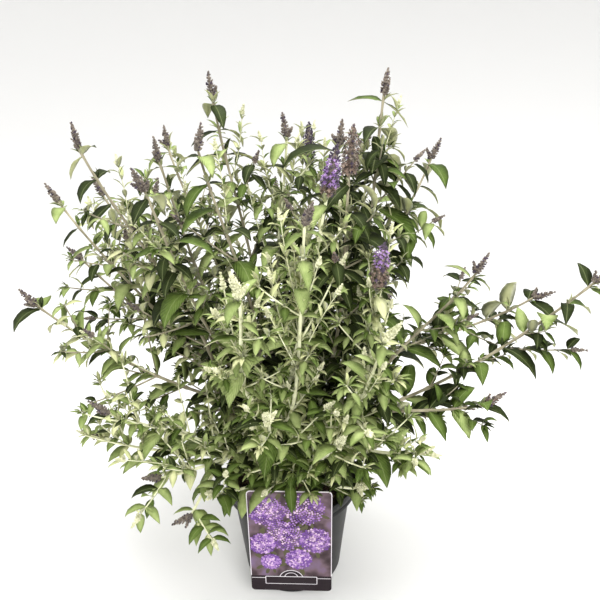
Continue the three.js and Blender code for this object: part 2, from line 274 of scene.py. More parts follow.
# Lines are (points, radii) in millimetres.
def tubesFrom(name, lines, sides, material):
    points, edges, radii = [], [], []
    for line, thick in lines:
        first = len(points)
        points += [point * mm for point in line]
        radii += [radius * mm for radius in thick]
        edges += [(i, i + 1) for i in range(first, len(points) - 1)]
    piece = objectFrom(name, points, edges=edges)
    piece.data.attributes.new("radius", "FLOAT", "POINT").data.foreach_set("value", radii)
    return applyTree(piece, tubeTree, Sides=sides, Material=material)


# A profile of (radius, height) turned round the upright axis, closed where the radius is nought.
def turnedMesh(name, profile, segments, material):
    angles = [2 * math.pi * k / segments for k in range(segments)]
    points, rings = [], []
    for radius, height in profile:
        if radius == 0:
            rings.append([len(points)] * segments)
            points.append(Vector((0, 0, height)) * mm)
        else:
            rings.append([len(points) + k for k in range(segments)])
            points += [Vector((radius * math.cos(a), radius * math.sin(a), height)) * mm for a in angles]
    faces = []
    for lower, upper in zip(rings, rings[1:]):
        for k in range(segments):
            after = (k + 1) % segments
            corners = [lower[k], lower[after], upper[after], upper[k]]
            faces.append([c for i, c in enumerate(corners) if c not in corners[:i]])
    piece = objectFrom(name, points, [face for face in faces if len(face) > 2])
    piece.data.materials.append(material)
    return piece


# Smooth faces with creases at edges sharper than an angle in degrees, and normals made to point outwards.
def smoothPiece(piece, degrees=180):
    shape = bmesh.new()
    shape.from_mesh(piece.data)
    bmesh.ops.recalc_face_normals(shape, faces=shape.faces)
    for face in shape.faces:
        face.smooth = True
    for edge in shape.edges:
        edge.smooth = edge.calc_face_angle(0) < math.radians(degrees)
    shape.to_mesh(piece.data)
    shape.free()


# Lengths are in millimetres from here on, and angles in degrees.
pot = {
    "height": 185, "foot": 80, "shoulder": 96, "lip": 107, "lipHeight": 22, "wall": 2.4, "base": 6,
    "chamfer": 4, "hollow": 3, "hollowSlope": 2, "footRing": 8, "round": 1.1, "segments": 128,
    "groove": 0.5, "grooveHeights": (7, 7.6, 8.6, 9.2), "neck": 3, "shelf": 2, "crease": 50,
    "dust": ((0.35, (0.005, 0.005, 0.005)), (0.75, (0.014, 0.014, 0.0135))),
    # The collar's near-black tone is painted shade from the foliage above.
    "collarShade": (0.003, 0.003, 0.003),
}


def potWall(height):
    return pot["foot"] + (pot["shoulder"] - pot["foot"]) * height / (pot["height"] - pot["lipHeight"])


# Black plastic, mottled with dust, and painted darker from half its height up to the collar as the shade
# that the foliage casts on it.
def potPlastic():
    material, tree, shader = newMaterial("potPlastic", Specular_IOR_Level=0.2)
    place = objectPlace(tree)
    dusty = rampOf(tree, noiseAt(tree, objectPlace(tree, (1, 1, 0.35)), 11, 3), *pot["dust"])
    height = shaderNode(tree, "ShaderNodeSeparateXYZ", {"Vector": place}).outputs["Z"]
    above = shaderNode(tree, "ShaderNodeMapRange", {
        "Value": height, "From Min": pot["height"] * 0.55 * mm, "From Max": pot["height"] * mm,
    })
    # Above half the pot's height the colour runs into near black: painted shade under the foliage.
    colour = mixColours(tree, above.outputs["Result"], dusty, pot["collarShade"])
    tree.links.new(colour, shader.inputs["Base Color"])
    tree.links.new(mapTo(tree, noiseAt(tree, place, 38, 6, 0.7), 0.34, 0.52), shader.inputs["Roughness"])
    tree.links.new(bumpFrom(tree, noiseAt(tree, place, 900, 2), 0.12, 0.0004), shader.inputs["Normal"])
    return material


def makePot():
    top, step = pot["height"], pot["height"] - pot["lipHeight"]
    lip, wall, soft, chamfer = pot["lip"], pot["wall"], pot["round"], pot["chamfer"]
    hollow, neck, shelf, base = pot["hollow"], pot["neck"], pot["shelf"], pot["base"]
    ring, mouth, groove = pot["foot"] - chamfer - pot["footRing"], potWall(step), lip - pot["groove"]
    low, lowIn, highIn, high = (step + height for height in pot["grooveHeights"])
    arc = [(1 - math.cos(math.radians(a)), math.sin(math.radians(a))) for a in range(15, 91, 15)]
    profile = [(0, hollow), (ring - pot["hollowSlope"], hollow), (ring, 0), (pot["foot"] - chamfer, 0)]
    profile += [(potWall(chamfer) - chamfer * (1 - b), chamfer * a) for a, b in arc]
    profile += [(potWall(z), z) for z in (step * 0.1, step * 0.5)]
    profile += [(mouth + 1, step - 1), (mouth + neck, step), (lip - soft, step)]
    profile += [(lip - soft + soft * b, step + soft * a) for a, b in arc]
    profile += [(lip, low), (groove, lowIn), (groove, highIn), (lip, high)]
    profile += [(lip - soft * a, top - soft + soft * b) for a, b in arc]
    profile += [(lip - wall + soft * (1 - b), top - soft * a) for a, b in arc]
    profile += [(lip - wall, step + wall + 1), (mouth - wall + shelf, step + wall), (mouth - wall, step)]
    profile += [(potWall(base) - wall, base), (0, base)]
    piece = turnedMesh("nurseryPot", profile, pot["segments"], potPlastic())
    smoothPiece(piece, pot["crease"])
    return piece


finishPiece(makePot(), "pot", "pot")
print("pot turned")


# A crowned bed of peat with bark chips on it.
soil = {
    "edge": 160, "crown": 165, "rough": 2.4, "lump": 14, "fractal": (0.9, 2.1, 5), "level": 6, "gap": 0.8,
    "depth": 22, "rings": 46, "spokes": 110,
    "peat": ((0.3, (0.006, 0.004, 0.003)), (0.55, (0.022, 0.014, 0.010)), (0.78, (0.065, 0.045, 0.03))),
}
chips = {
    "count": 900, "sizes": (2, 8), "tilt": (-0.5, 0.5), "sunk": 0.3, "seed": 5,
    "bark": ((0.35, (0.024, 0.015, 0.010)), (0.6, (0.075, 0.048, 0.03)), (0.8, (0.17, 0.125, 0.085))),
}


def soilMaterial(name, scale, detail, stops):
    return noiseMaterial(
        name, (1, 1, 1), (scale, detail, 0.7), stops, relief=((420, 6), 0.8, 0.002),
        Roughness=0.95, Specular_IOR_Level=0.2,
    )


def soilPoint(reach, angle, radius):
    x, y, share = reach * math.cos(angle), reach * math.sin(angle), reach / radius
    lumps = noise.fractal(Vector((x, y, 0)) / soil["lump"], *soil["fractal"]) * soil["rough"]
    crown = (soil["crown"] - soil["edge"]) * (1 - share * share)
    return Vector((x, y, soil["edge"] + crown + lumps * (1 - share ** soil["level"])))


def makeSoil(radius):
    rings, spokes, floor = soil["rings"], soil["spokes"], soil["edge"] - soil["depth"]
    angles = [2 * math.pi * k / spokes for k in range(spokes)]
    points, faces = [soilPoint(0, 0, radius)], []
    for ring in range(1, rings + 1):
        points += [soilPoint(radius * ring / rings, angle, radius) for angle in angles]
    points += [Vector((point.x, point.y, floor)) for point in points[-spokes:]]
    points.append(Vector((0, 0, floor)))
    for spoke in range(spokes):
        after = (spoke + 1) % spokes
        faces.append((0, 1 + spoke, 1 + after))
        for ring in range(rings):
            low, high = 1 + ring * spokes, 1 + (ring + 1) * spokes
            faces.append((low + spoke, high + spoke, high + after, low + after))
        foot = 1 + rings * spokes
        faces.append((foot + spoke, len(points) - 1, foot + after))
    piece = objectFrom("soilBed", [point * mm for point in points], faces)
    piece.data.materials.append(soilMaterial("pottingSoil", 160, 8, soil["peat"]))
    smoothPiece(piece)
    return piece


# A splinter of bark, a unit long.
def chipModel():
    lower = [(-0.5, -0.2, 0), (0.45, -0.28, 0), (0.55, 0.2, 0), (-0.4, 0.25, 0)]
    upper = [(-0.4, -0.1, 0.16), (0.3, -0.16, 0.2), (0.4, 0.12, 0.17), (-0.32, 0.16, 0.14)]
    faces = [(3, 2, 1, 0), (4, 5, 6, 7)] + [(k, (k + 1) % 4, 4 + (k + 1) % 4, 4 + k) for k in range(4)]
    return objectFrom("barkChip", lower + upper, faces)


def makeChips(radius):
    draw = random.Random(chips["seed"])
    seats = []
    for _ in range(chips["count"]):
        size = draw.uniform(*chips["sizes"])
        reach, angle = (radius - size) * math.sqrt(draw.random()), draw.uniform(0, 2 * math.pi)
        turn = Quaternion(up, draw.uniform(0, 2 * math.pi))
        turn = turn @ Quaternion((1, 0, 0), draw.uniform(*chips["tilt"]))
        seats.append((soilPoint(reach, angle, radius) - up * chips["sunk"], turn, (size, size, size)))
    model = chipModel()
    piece = seatCopies("soilChips", model, seats, soilMaterial("barkChips", 55, 2, chips["bark"]))
    bpy.data.objects.remove(model)
    return piece


soilRadius = potWall(soil["edge"]) - pot["wall"] - soil["gap"]
finishPiece(makeSoil(soilRadius), "soil", "soil")
finishPiece(makeChips(soilRadius), "soil", "soil")
print("soil filled")


# The card hangs in front of the pot from a strap over its rim.
card = {
    "width": 124, "height": 196, "foot": 39, "thick": 1.3, "corner": 6, "offset": 3, "gap": 0.3,
    "margin": 1.1, "band": 31, "print": 0.05, "crease": 30,
    "hookWidth": 30, "hookDepth": 20, "hookIn": 2.6,
    "edgeTone": (0.66, 0.62, 0.66), "bandTone": (0.010, 0.004, 0.007),
    "ground": (
        (0.3, (0.026, 0.014, 0.016)), (0.44, (0.06, 0.038, 0.045)),
        (0.56, (0.13, 0.085, 0.105)), (0.74, (0.17, 0.115, 0.205)),
    ),
}
# The plain marks on its dark band: half rounds of (drop from the band's top, radius of rim and inside), a
# line, and a frame of (half width, foot, top).
marks = {
    "seal": (7, 19, 17.9), "ring": (4, 11, 10), "line": (5, 4.2), "lineCorner": 0.3,
    "frame": (40, 17, 1), "frameCorners": (1.5, 1), "frameEdge": 1.1, "eyelet": (-5, -8, 2.2, 3.2),
}
cardFront = -(pot["lip"] + card["gap"] + card["thick"])
cardLeft, cardRight = card["offset"] - card["width"] / 2, card["offset"] + card["width"] / 2
cardTop = card["foot"] + card["height"]
bandTop = card["foot"] + card["band"]


def arcPoints(centreX, centreZ, width, height, start, end, steps):
    angles = [math.radians(start + (end - start) * k / steps) for k in range(steps + 1)]
    return [(centreX + width * math.cos(a), centreZ + height * math.sin(a)) for a in angles]


# The outline of a rectangle with round corners, anticlockwise, as (x, z).
def roundedOutline(left, right, low, high, corner, steps=6):
    outline = []
    for x, z, start in ((right - corner, low + corner, -90), (right - corner, high - corner, 0),
                        (left + corner, high - corner, 90), (left + corner, low + corner, 180)):
        outline += arcPoints(x, z, corner, corner, start, start + 90, steps)
    return outline


# A closed plate in the card's plane, from its front face back to the card's own back or face.
def plateFrom(name, outline, front, thick, material):
    count = len(outline)
    points = [Vector((x, y, z)) * mm for y in (front, front + thick) for x, z in outline]
    faces = [tuple(range(count)), tuple(reversed(range(count, 2 * count)))]
    faces += [(k, count + k, count + (k + 1) % count, (k + 1) % count) for k in range(count)]
    piece = objectFrom(name, points, faces)
    piece.data.materials.append(material)
    return piece


def cardMaterial(name, *stops, scale=30):
    gloss = ((80, 4), 0.4, 0.55)
    return noiseMaterial(name, (1, 1, 1), (scale, 2, 0.45), stops, gloss=gloss, Specular_IOR_Level=0.18)


def plainPrint(name, colour):
    pale = tuple(min(1, part * 1.15 + 0.005) for part in colour)
    return cardMaterial(name, (0.3, colour), (0.75, pale))


def makeHook(material):
    inside = -(pot["lip"] - pot["wall"] - card["hookIn"])
    outside, thick = cardFront + card["thick"] / 2, card["thick"]
    top = pot["height"] + card["gap"] + thick
    foot = top - card["hookDepth"]
    side = [(outside, top - thick), (inside, top - thick), (inside, foot), (inside + thick, foot),
            (inside + thick, top), (outside, top)]
    half, count = card["hookWidth"] / 2, len(side)
    points = [Vector((card["offset"] + sign * half, y, z)) * mm for sign in (-1, 1) for y, z in side]
    faces = [tuple(reversed(range(count))), tuple(range(count, 2 * count))]
    faces += [(k, (k + 1) % count, count + (k + 1) % count, count + k) for k in range(count)]
    hook = objectFrom("hook", points, faces)
    hook.data.materials.append(material)
    return hook


def halfRound(middle, height, radius, steps):
    return arcPoints(middle, height, radius, radius, 0, 180, steps)


# Each print is a thin plate a layer prouder than the one before, with no words: a picture ground inside a
# pale edge, a dark band, a half-round seal, a line and a frame.
def makeCard():
    middle, edge, low, corner = card["offset"], card["margin"], card["foot"], card["corner"]
    whole = roundedOutline(cardLeft, cardRight, low, cardTop, corner)
    inner = roundedOutline(
        cardLeft + edge, cardRight - edge, low + edge, cardTop - edge, corner - edge / 2,
    )
    band = whole[:7] + [(cardRight, bandTop), (cardLeft, bandTop)] + whole[-7:]
    sealDrop, sealRim, seal = marks["seal"]
    ringDrop, ringRim, ring = marks["ring"]
    lineLow, lineHigh = (bandTop - drop for drop in marks["line"])
    half, foot, top = marks["frame"][0], bandTop - marks["frame"][1], bandTop - marks["frame"][2]
    rim, (outerCorner, innerCorner) = marks["frameEdge"], marks["frameCorners"]
    x, z, wide, tall = marks["eyelet"]
    pale, plum = plainPrint("cardEdge", card["edgeTone"]), plainPrint("cardBand", card["bandTone"])
    layers = [
        ("ground", inner, cardMaterial("cardGround", *card["ground"], scale=42)),
        ("band", band, plum),
        ("sealRim", halfRound(middle, bandTop - sealDrop, sealRim, 18), pale),
        ("seal", halfRound(middle, bandTop - sealDrop, seal, 18), plum),
        ("sealRing", halfRound(middle, bandTop - ringDrop, ringRim, 14), pale),
        ("sealHeart", halfRound(middle, bandTop - ringDrop, ring, 14), plum),
        ("line", roundedOutline(
            cardLeft + 1, cardRight - 1, lineLow, lineHigh, marks["lineCorner"], 1,
        ), pale),
        ("frame", roundedOutline(middle - half, middle + half, foot, top, outerCorner, 3), pale),
        ("frameInside", roundedOutline(
            middle - half + rim, middle + half - rim, foot + rim, top - rim, innerCorner, 3,
        ), plum),
        ("eyelet", arcPoints(middle + x, cardTop + z, wide, tall, 0, 340, 17), pale),
    ]
    pieces = [plateFrom("plate", whole, cardFront, card["thick"], pale), makeHook(pale)]
    for layer, (name, outline, paint) in enumerate(layers):
        rise = (layer + 1) * card["print"]
        pieces.append(plateFrom(name, outline, cardFront - rise, rise, paint))
    piece = joinPieces("pictureCard", pieces)
    smoothPiece(piece, card["crease"])
    return piece


# A closed, nearly flat shape a unit across, facing -Y, whose rim is given as (reach, angle) pairs.
def flatModel(name, rim):
    points = [(0, -0.08, 0), (0, 0.02, 0)]
    points += [(reach * math.cos(angle), 0, reach * math.sin(angle)) for reach, angle in rim]
    count = len(rim)
    faces = [(0, 2 + k, 2 + (k + 1) % count) for k in range(count)]
    faces += [(1, 2 + (k + 1) % count, 2 + k) for k in range(count)]
    return objectFrom(name, points, faces)


def floretRim(petals=5, steps=5):
    rim = []
    for k in range(petals * steps):
        spread = 2 * (k % steps) / steps - 1
        rim.append((0.5 * (1 - 0.62 * abs(spread) ** 2.6), 2 * math.pi * k / (petals * steps)))
    return rim


def leafRim(steps=14):
    angles = [2 * math.pi * k / steps for k in range(steps)]
    return [(0.5 * (0.3 + 0.7 * abs(math.cos(angle)) ** 1.6), angle) for angle in angles]


# Round heads of five-petalled florets over a few leaves: each head is (x, height, radius) on the picture.
# The shares of the three tones differ at a head's rim and inside it.
cardArt = {
    "heads": (
        (-33, 158, 27), (22, 164, 30), (-8, 112, 28), (38, 104, 24),
        (-42, 96, 20), (12, 66, 20), (-30, 60, 15),
    ),
    "florets": 170, "sizes": (2.6, 5), "spiral": 2.4, "layers": 0.4, "seed": 21,
    "leaves": 5, "leafLong": 30, "leafSizes": (0.6, 1), "leafWide": 0.5, "leafTone": (0.07, 0.065, 0.03),
    "tones": {"lilac": (0.34, 0.19, 0.46), "violet": (0.14, 0.055, 0.26), "blush": (0.62, 0.44, 0.62)},
    "outer": (5, 5, 1), "inner": (5, 3, 4), "innerTo": 0.6,
}


def onPicture(x, z, reach):
    space = card["margin"] + reach
    return cardLeft + space < x < cardRight - space and bandTop + reach < z < cardTop - space


def makeCardArt():
    draw = random.Random(cardArt["seed"])
    face, circle = cardFront - card["print"], 2 * math.pi
    seats = {tone: [] for tone in cardArt["tones"]}
    leafSeats = []
    for x, z, radius in cardArt["heads"]:
        x, z = x + card["offset"], z + card["foot"]
        for _ in range(cardArt["leaves"]):
            angle = draw.uniform(0, circle)
            size = cardArt["leafLong"] * draw.uniform(*cardArt["leafSizes"])
            place = Vector((x + radius * math.cos(angle), face, z + radius * math.sin(angle)))
            turn = Quaternion((0, 1, 0), -angle)
            if onPicture(place.x, place.z, size / 2):
                leafSeats.append((place, turn, (size, 1, size * cardArt["leafWide"])))
        for k in range(cardArt["florets"]):
            reach, angle = radius * math.sqrt((k + 0.5) / cardArt["florets"]), k * cardArt["spiral"]
            size = draw.uniform(*cardArt["sizes"])
            shares = cardArt["outer"] if reach > radius * cardArt["innerTo"] else cardArt["inner"]
            tone = draw.choices(list(seats), shares)[0]
            depth = face - 0.1 - cardArt["layers"] * draw.random()
            place = Vector((x + reach * math.cos(angle), depth, z + reach * math.sin(angle)))
            turn = Quaternion((0, 1, 0), draw.uniform(0, circle))
            if onPicture(place.x, place.z, size / 2):
                seats[tone].append((place, turn, (size, 1, size)))
    floret, leafShape = flatModel("floret", floretRim()), flatModel("leafShape", leafRim())
    leafPaint = plainPrint("leafPrint", cardArt["leafTone"])
    pieces = [seatCopies("cardLeaves", leafShape, leafSeats, leafPaint)]
    for tone, places in seats.items():
        paint = plainPrint(tone + "Print", cardArt["tones"][tone])
        pieces.append(seatCopies("cardFlorets_" + tone, floret, places, paint))
    bpy.data.objects.remove(floret)
    bpy.data.objects.remove(leafShape)
    return pieces


finishPiece(makeCard(), "card", "picture_card")
for cardPrint in makeCardArt():
    finishPiece(cardPrint, "card", "picture_card")
print("card hung")


# The plant's plan is the frame's own.
stool = {
    "flare": 30, "collar": 24, "waist": 21, "head": 22, "height": 24, "foot": 166.3, "gap": 0.3, "sunk": 2,
}
bough = {"thick": 4.2, "thin": 2.6, "knuckle": 4.4}
shoot = {
    "thick": 1.7, "thin": 0.9, "splay": 36, "lift": 0.3, "internode": 100, "crowding": 0.35,
    "firstNode": 12, "lastNode": 6, "swell": 1.3, "intoSpike": 0.02,
}
twig = {
    "long": 125, "short": 55, "reaches": (0.75, 1.25), "thick": 1.1, "thin": 0.7, "steps": 8, "draws": 8,
    "lean": 48, "rise": 0.18, "aside": 35, "last": 0.8, "end": 0.96, "tuftAt": 0.97, "bow": (0.03, 0.05),
    "slim": 160,
}
leaf = {"lean": 58, "scatter": 30, "sag": 0.42, "sags": (0.6, 1.6), "sizes": (0.85, 1.15), "taper": 1.5}
spike = {"long": 34, "radius": 4.4, "overlap": 0.9, "bend": 0.4, "aside": 42, "lesser": 0.8, "onTwig": 0.62}
twigSpike = {size: spike[size] * spike["onTwig"] for size in ("long", "radius")}
panicle = {"long": 58, "radius": 11, "bend": 0.1}
seeds = {"first": 1, "step": 100}

# Each bough's azimuth and elevation, the reach and height of its knuckle, then the (azimuth, reach, height)
# of the tip of each of its shoots.
boughs = {
    "left_low": (215, 40, 108, 258, [(186, 318, 278), (205, 285, 389), (221, 250, 300), (232, 228, 226)]),
    "left_far": (183, 42, 108, 325, [(183, 378, 507), (173, 340, 646), (186, 266, 734)]),
    "left_back": (150, 42, 105, 325, [(159, 392, 521), (151, 370, 622), (141, 252, 706)]),
    "left_top": (172, 70, 50, 350, [(149, 117, 787), (201, 114, 734), (167, 186, 706), (217, 198, 700)]),
    "top": (78, 70, 42, 372, [(88, 60, 735), (77, 144, 706), (40, 150, 711)]),
    "right_top": (355, 70, 46, 348, [(17, 140, 790), (0, 74, 732), (325, 105, 728)]),
    "right_back": (36, 42, 108, 318, [(32, 262, 687), (11, 406, 475)]),
    "right_far": (358, 42, 112, 296, [(353, 424, 556), (356, 272, 560), (341, 310, 388)]),
    "right_front": (320, 40, 100, 282, [(320, 250, 352), (310, 184, 610), (299, 252, 560)]),
    "front": (262, 70, 62, 322, [(262, 240, 618), (281, 184, 680), (303, 118, 712)]),
    "front_low": (277, 42, 92, 276, [(268, 248, 468), (289, 236, 418)]),
    "back": (93, 44, 95, 325, [(97, 278, 600), (68, 300, 500), (116, 292, 468)]),
}

# Shoots that spring from the stool itself.
basalElevation = 12
basal = {
    "basal_left": (178, 214, 262),
    "basal_front_left": (233, 186, 262),
    "basal_front_right": (309, 186, 276),
    "basal_right": (8, 232, 296),
    "basal_back_right": (56, 322, 388),
    "basal_back": (80, 262, 318),
    "basal_back_left": (127, 330, 416),
}

# What the finer growth adds between the frame's nodes.
fine = {
    "leafLong": 70, "leafShort": 60, "leafTop": (0.6, 1), "between": (0.6, 0.95), "sizes": (0.85, 1.12),
    "twigLeaf": 50, "twigPairs": (0.3, 0.52, 0.74, 0.92), "shrink": 0.66, "twigsTo": 0.72,
    "feathersTo": 0.73, "stout": 1.6, "twigStout": 1.25, "boughNodes": (0.2, 0.36, 0.52, 0.68, 0.84, 0.97),
}
# High leaves hang more steeply, by a share drawn from steeper, and none points down more than its droop.
hanging = {
    "droop": 0.1, "from": 350, "range": 500, "share": 0.35, "steeper": (0.2, 1.1), "steepRange": 300,
    "clear": 0.55, "widths": (0.85, 1.15),
}
sideTwig = {"long": (34, 74), "lean": (34, 62), "leaf": 40, "pairs": (0.34, 0.64, 0.93), "scatter": 25}
tuft = {
    "leaf": (9, 22), "lean": (12, 38), "leaves": (2, 3, 4), "fork": 40, "scatter": 25, "sag": 0.05,
    "out": 1.5, "light": (0, 2, 4, 3), "dark": (2, 5, 3, 0), "onTwig": 0.75, "atTip": 0.9,
}
feather = {
    "long": (55, 125), "lean": (10, 34), "rise": 0.35, "bow": 0.06, "thick": 0.85, "taper": 0.05,
    "first": 0.12, "gap": 8.5, "gaps": (0.8, 1.5), "leaf": (12, 24), "leafLean": (34, 64),
    "leafScatter": 20, "sag": 0.1, "tones": (0, 2, 5, 5), "spikeLong": 0.7, "spikeThick": 0.8,
    "spikeSunk": 2, "scatter": 40,
}
sprout = {"count": 22, "reach": (60, 130), "rise": (8, 70), "scatter": 12, "sunk": 3, "seed": 4242}

# The foliage of each bough, in these columns: shares of deep, mid, soft and young leaves, leaf size, side
# twigs at a fine node, their length and rise, feathery twigs there, the share of axils with young leaves,
# the size of those, and the shade of the stems.
tones = ("deep", "mid", "soft", "young")
columns = ("shares", "leaf", "twigs", "reach", "rise", "feathers", "tufts", "tuft", "stem")
# Deep leaves go more to the boughs at the back and low in the heart of the bush, and soft and young ones to
# the front, so these shares paint part of the bush's shade and light besides the leaves' own greens.
habits = {
    "left_low": ((3, 1, 6, 2), 0.76, 3, 1.5, 1, 1, 0.8, 1, "cream"),
    "left_far": ((4, 1, 6, 2), 0.82, 3, 1.35, -0.15, 1, 0.7, 1, "grey"),
    "left_back": ((5, 2, 4, 0), 0.9, 2, 1, 0.1, 1, 0.7, 1.1, "grey"),
    "left_top": ((5, 3, 3, 0), 0.95, 1, 1, 0.1, 1, 0.8, 1.2, "grey"),
    "top": ((4, 2, 5, 1), 0.92, 1, 1, 0.1, 2, 1, 1.2, "cream"),
    "right_top": ((9, 3, 0, 0), 1.18, 3, 1.15, 0.1, 1, 0.8, 1.2, "grey"),
    "right_back": ((6, 5, 1, 0), 1.08, 2, 1, 0.1, 0, 0.6, 1.1, "grey"),
    "right_far": ((5, 5, 1, 0), 0.95, 1, 1, 0.1, 0, 0.6, 1, "grey"),
    "right_front": ((1, 3, 6, 1), 0.72, 1, 1, 0.1, 2, 1, 1.2, "cream"),
    "front": ((0, 3, 7, 1), 0.68, 1, 1, 0.1, 3, 1, 1.2, "cream"),
    "front_low": ((3, 5, 3, 0), 0.8, 2, 1, 0.1, 1, 0.9, 1, "cream"),
    "back": ((4, 4, 3, 0), 1, 1, 1, 0.1, 0, 0.4, 1, "grey"),
    "basal": ((5, 5, 2, 0), 0.75, 2, 1, 0.1, 0, 0.7, 1, "cream"),
    "spare": ((1, 5, 4, 0), 0.8, 0, 1, 0.1, 0, 0.3, 1, "cream"),
}
habits = {name: dict(zip(columns, values)) for name, values in habits.items()}
spareShoots = ("left_low_4", "basal_front_left", "basal_left")

# The state of the spike at the tip of some shoots; the others hold grey buds.
spikeStates = {
    "front_3": "inFlower", "right_front_2": "fading", "right_top_3": "faded", "right_far_3": "faded",
    "top_2": "dusk", "front_1": "cream", "front_low_1": "cream", "front_low_2": "cream",
    "right_front_1": "cream", "right_front_3": "cream", "basal_front_left": "cream",
    "basal_front_right": "cream",
}
flowering = ("front_3", "right_front_2", "right_top_3", "top_2")
# Shares of grey, cream and dusk spikes on the twigs, by the shade of the stems.
besideFlowers = {"cream": (1, 8, 0), "grey": (8, 1, 1)}


# The frame's own repeatable draws, from a whole-number seed.
def drawsFrom(seed):
    state = [seed * 2654435761 % 2 ** 32]

    def draw():
        state[0] = (state[0] * 1664525 + 1013904223) % 2 ** 32
        return state[0] / 2 ** 32
    return draw


def polar(azimuth, elevation):
    a, e = math.radians(azimuth), math.radians(elevation)
    return Vector((math.cos(a) * math.cos(e), math.sin(a) * math.cos(e), math.sin(e)))


def placeAt(azimuth, reach, height):
    return polar(azimuth, 0) * reach + up * height


def squareTo(direction, angle):
    guide = up if abs(direction.z) < 0.95 else Vector((1, 0, 0))
    level = guide.cross(direction).normalized()
    turned = math.radians(angle)
    return level * math.cos(turned) + direction.cross(level) * math.sin(turned)


def leaning(tangent, turn, lean, sag):
    angle = math.radians(lean)
    way = tangent * math.cos(angle) + squareTo(tangent, turn) * math.sin(angle)
    return (way - up * sag).normalized()


# The heading of a twig, which leans away from its stem and rises a little.
def twigHeading(tangent, turn, lean, rise):
    return (leaning(tangent, turn, lean, 0) + up * rise).normalized()


def bezier(controls, t):
    points = list(controls)
    while len(points) > 1:
        points = [a.lerp(b, t) for a, b in zip(points, points[1:])]
    return points[0]


# A line in short steps, which can be read at any share of its length.
class Path:
    def __init__(self, controls, steps=48):
        self.points = [bezier(controls, k / steps) for k in range(steps + 1)]
        self.runs = [0]
        for a, b in zip(self.points, self.points[1:]):
            self.runs.append(self.runs[-1] + (b - a).length)
        self.length = self.runs[-1]

    def locate(self, share):
        wanted = min(max(share, 0), 1) * self.length
        step = next((k for k in range(1, len(self.runs)) if self.runs[k] >= wanted), len(self.runs) - 1)
        return step, (wanted - self.runs[step - 1]) / (self.runs[step] - self.runs[step - 1])

    def at(self, share):
        step, part = self.locate(share)
        return self.points[step - 1].lerp(self.points[step], part)

    def tangent(self, share):
        step, _ = self.locate(share)
        return (self.points[step] - self.points[step - 1]).normalized()


heart = Vector((0, 0, stool["foot"] + stool["height"]))


def boughPath(azimuth, elevation, reach, height):
    heading = polar(azimuth, elevation)
    start = heart + heading * (stool["head"] + stool["gap"])
    end = placeAt(azimuth, reach, height)
    return Path([start, start + heading * (start - end).length * 0.5, end])


def splayedHeadings(path, tips):
    axis, end = path.tangent(1), path.points[-1]
    across, over = squareTo(axis, 0), squareTo(axis, 90)
    bearings = []
    for i, tip in enumerate(tips):
        way = tip - end
        bearings.append((math.degrees(math.atan2(way.dot(over), way.dot(across))), i))
    bearings.sort()
    share = 360 / len(tips)
    offset = sum(angle - rank * share for rank, (angle, _) in enumerate(bearings)) / len(tips)
    splay = math.radians(shoot["splay"])
    headings = {}
    for rank, (_, i) in enumerate(bearings):
        headings[i] = axis * math.cos(splay) + squareTo(axis, offset + rank * share) * math.sin(splay)
    return [headings[i] for i in range(len(tips))]


def stemPath(start, heading, tip):
    pull = (tip - start).length / 3
    arrival = ((tip - start).normalized() + up * shoot["lift"]).normalized()
    return Path([start, start + heading * pull, tip - arrival * pull, tip])


# True where a leaf would not cut into the pot, the card or the ground.
clearance = {"pot": 2, "cardSide": 3, "cardFront": 4, "cardBack": 5, "cardTop": 2, "ground": 4}


def isClear(*points):
    for point in points:
        around, over = pot["lip"] + clearance["pot"], pot["height"] + clearance["pot"]
        inPot = math.hypot(point.x, point.y) < around and point.z < over
        beside = cardLeft - clearance["cardSide"] < point.x < cardRight + clearance["cardSide"]
        before = cardFront - clearance["cardFront"] < point.y < cardFront + clearance["cardBack"]
        inCard = beside and before and point.z < cardTop + clearance["cardTop"]
        if inPot or inCard or point.z < clearance["ground"]:
            return False
    return True


# What grows is gathered here, kind by kind.
grown = {
    "stems": {"cream": [], "grey": []},
    "twigs": {"cream": [], "grey": []},
    "leaves": {tone: [] for tone in tones},
    "tufts": {tone: [] for tone in tones},
    "spikes": [],
}


def blend(low, high, share):
    return low + (high - low) * share


# Paler leaves are likelier towards the tip.
def pickTone(shares, draw, share):
    favour = {"soft": 1 + share, "young": 1 + share}
    weights = [weight * favour.get(tone, 1) for weight, tone in zip(shares, tones)]
    return draw.choices(tones, weights)[0]


# A leaf's chord points along direction, with its upper face towards the sky.
def hangLeaf(kind, tone, root, direction, length, draw, lifted=True):
    rise = max(0, root.z - hanging["from"])
    droop = hanging["droop"] + rise / hanging["range"]
    if kind == "leaves" and lifted:
        steeper = draw.uniform(*hanging["steeper"]) * min(1, rise / hanging["steepRange"])
        direction = (direction - up * steeper).normalized()
    if lifted and direction.z < -droop:
        direction = direction.copy()
        direction.z = -droop + (direction.z + droop) * hanging["share"]
        direction.normalize()
    if isClear(root + direction * length * hanging["clear"], root + direction * length):
        side = squareTo(direction, 0)
        turn = Matrix((-side, direction, direction.cross(side))).transposed().to_quaternion()
        size = (length * draw.uniform(*hanging["widths"]), length, length)
        grown[kind][tone].append((root, turn, size))


# A pair of opposite leaves at a node.
def hangPair(shares, share, root, tangent, turn, length, draw):
    for side in (0, 180):
        around = turn + side + (draw.random() - 0.5) * leaf["scatter"]
        sag = leaf["sag"] * blend(*leaf["sags"], draw.random())
        direction = leaning(tangent, around, leaf["lean"], sag)
        tone = pickTone(shares, draw, share)
        hangLeaf("leaves", tone, root, direction, length * draw.uniform(*fine["sizes"]), draw)


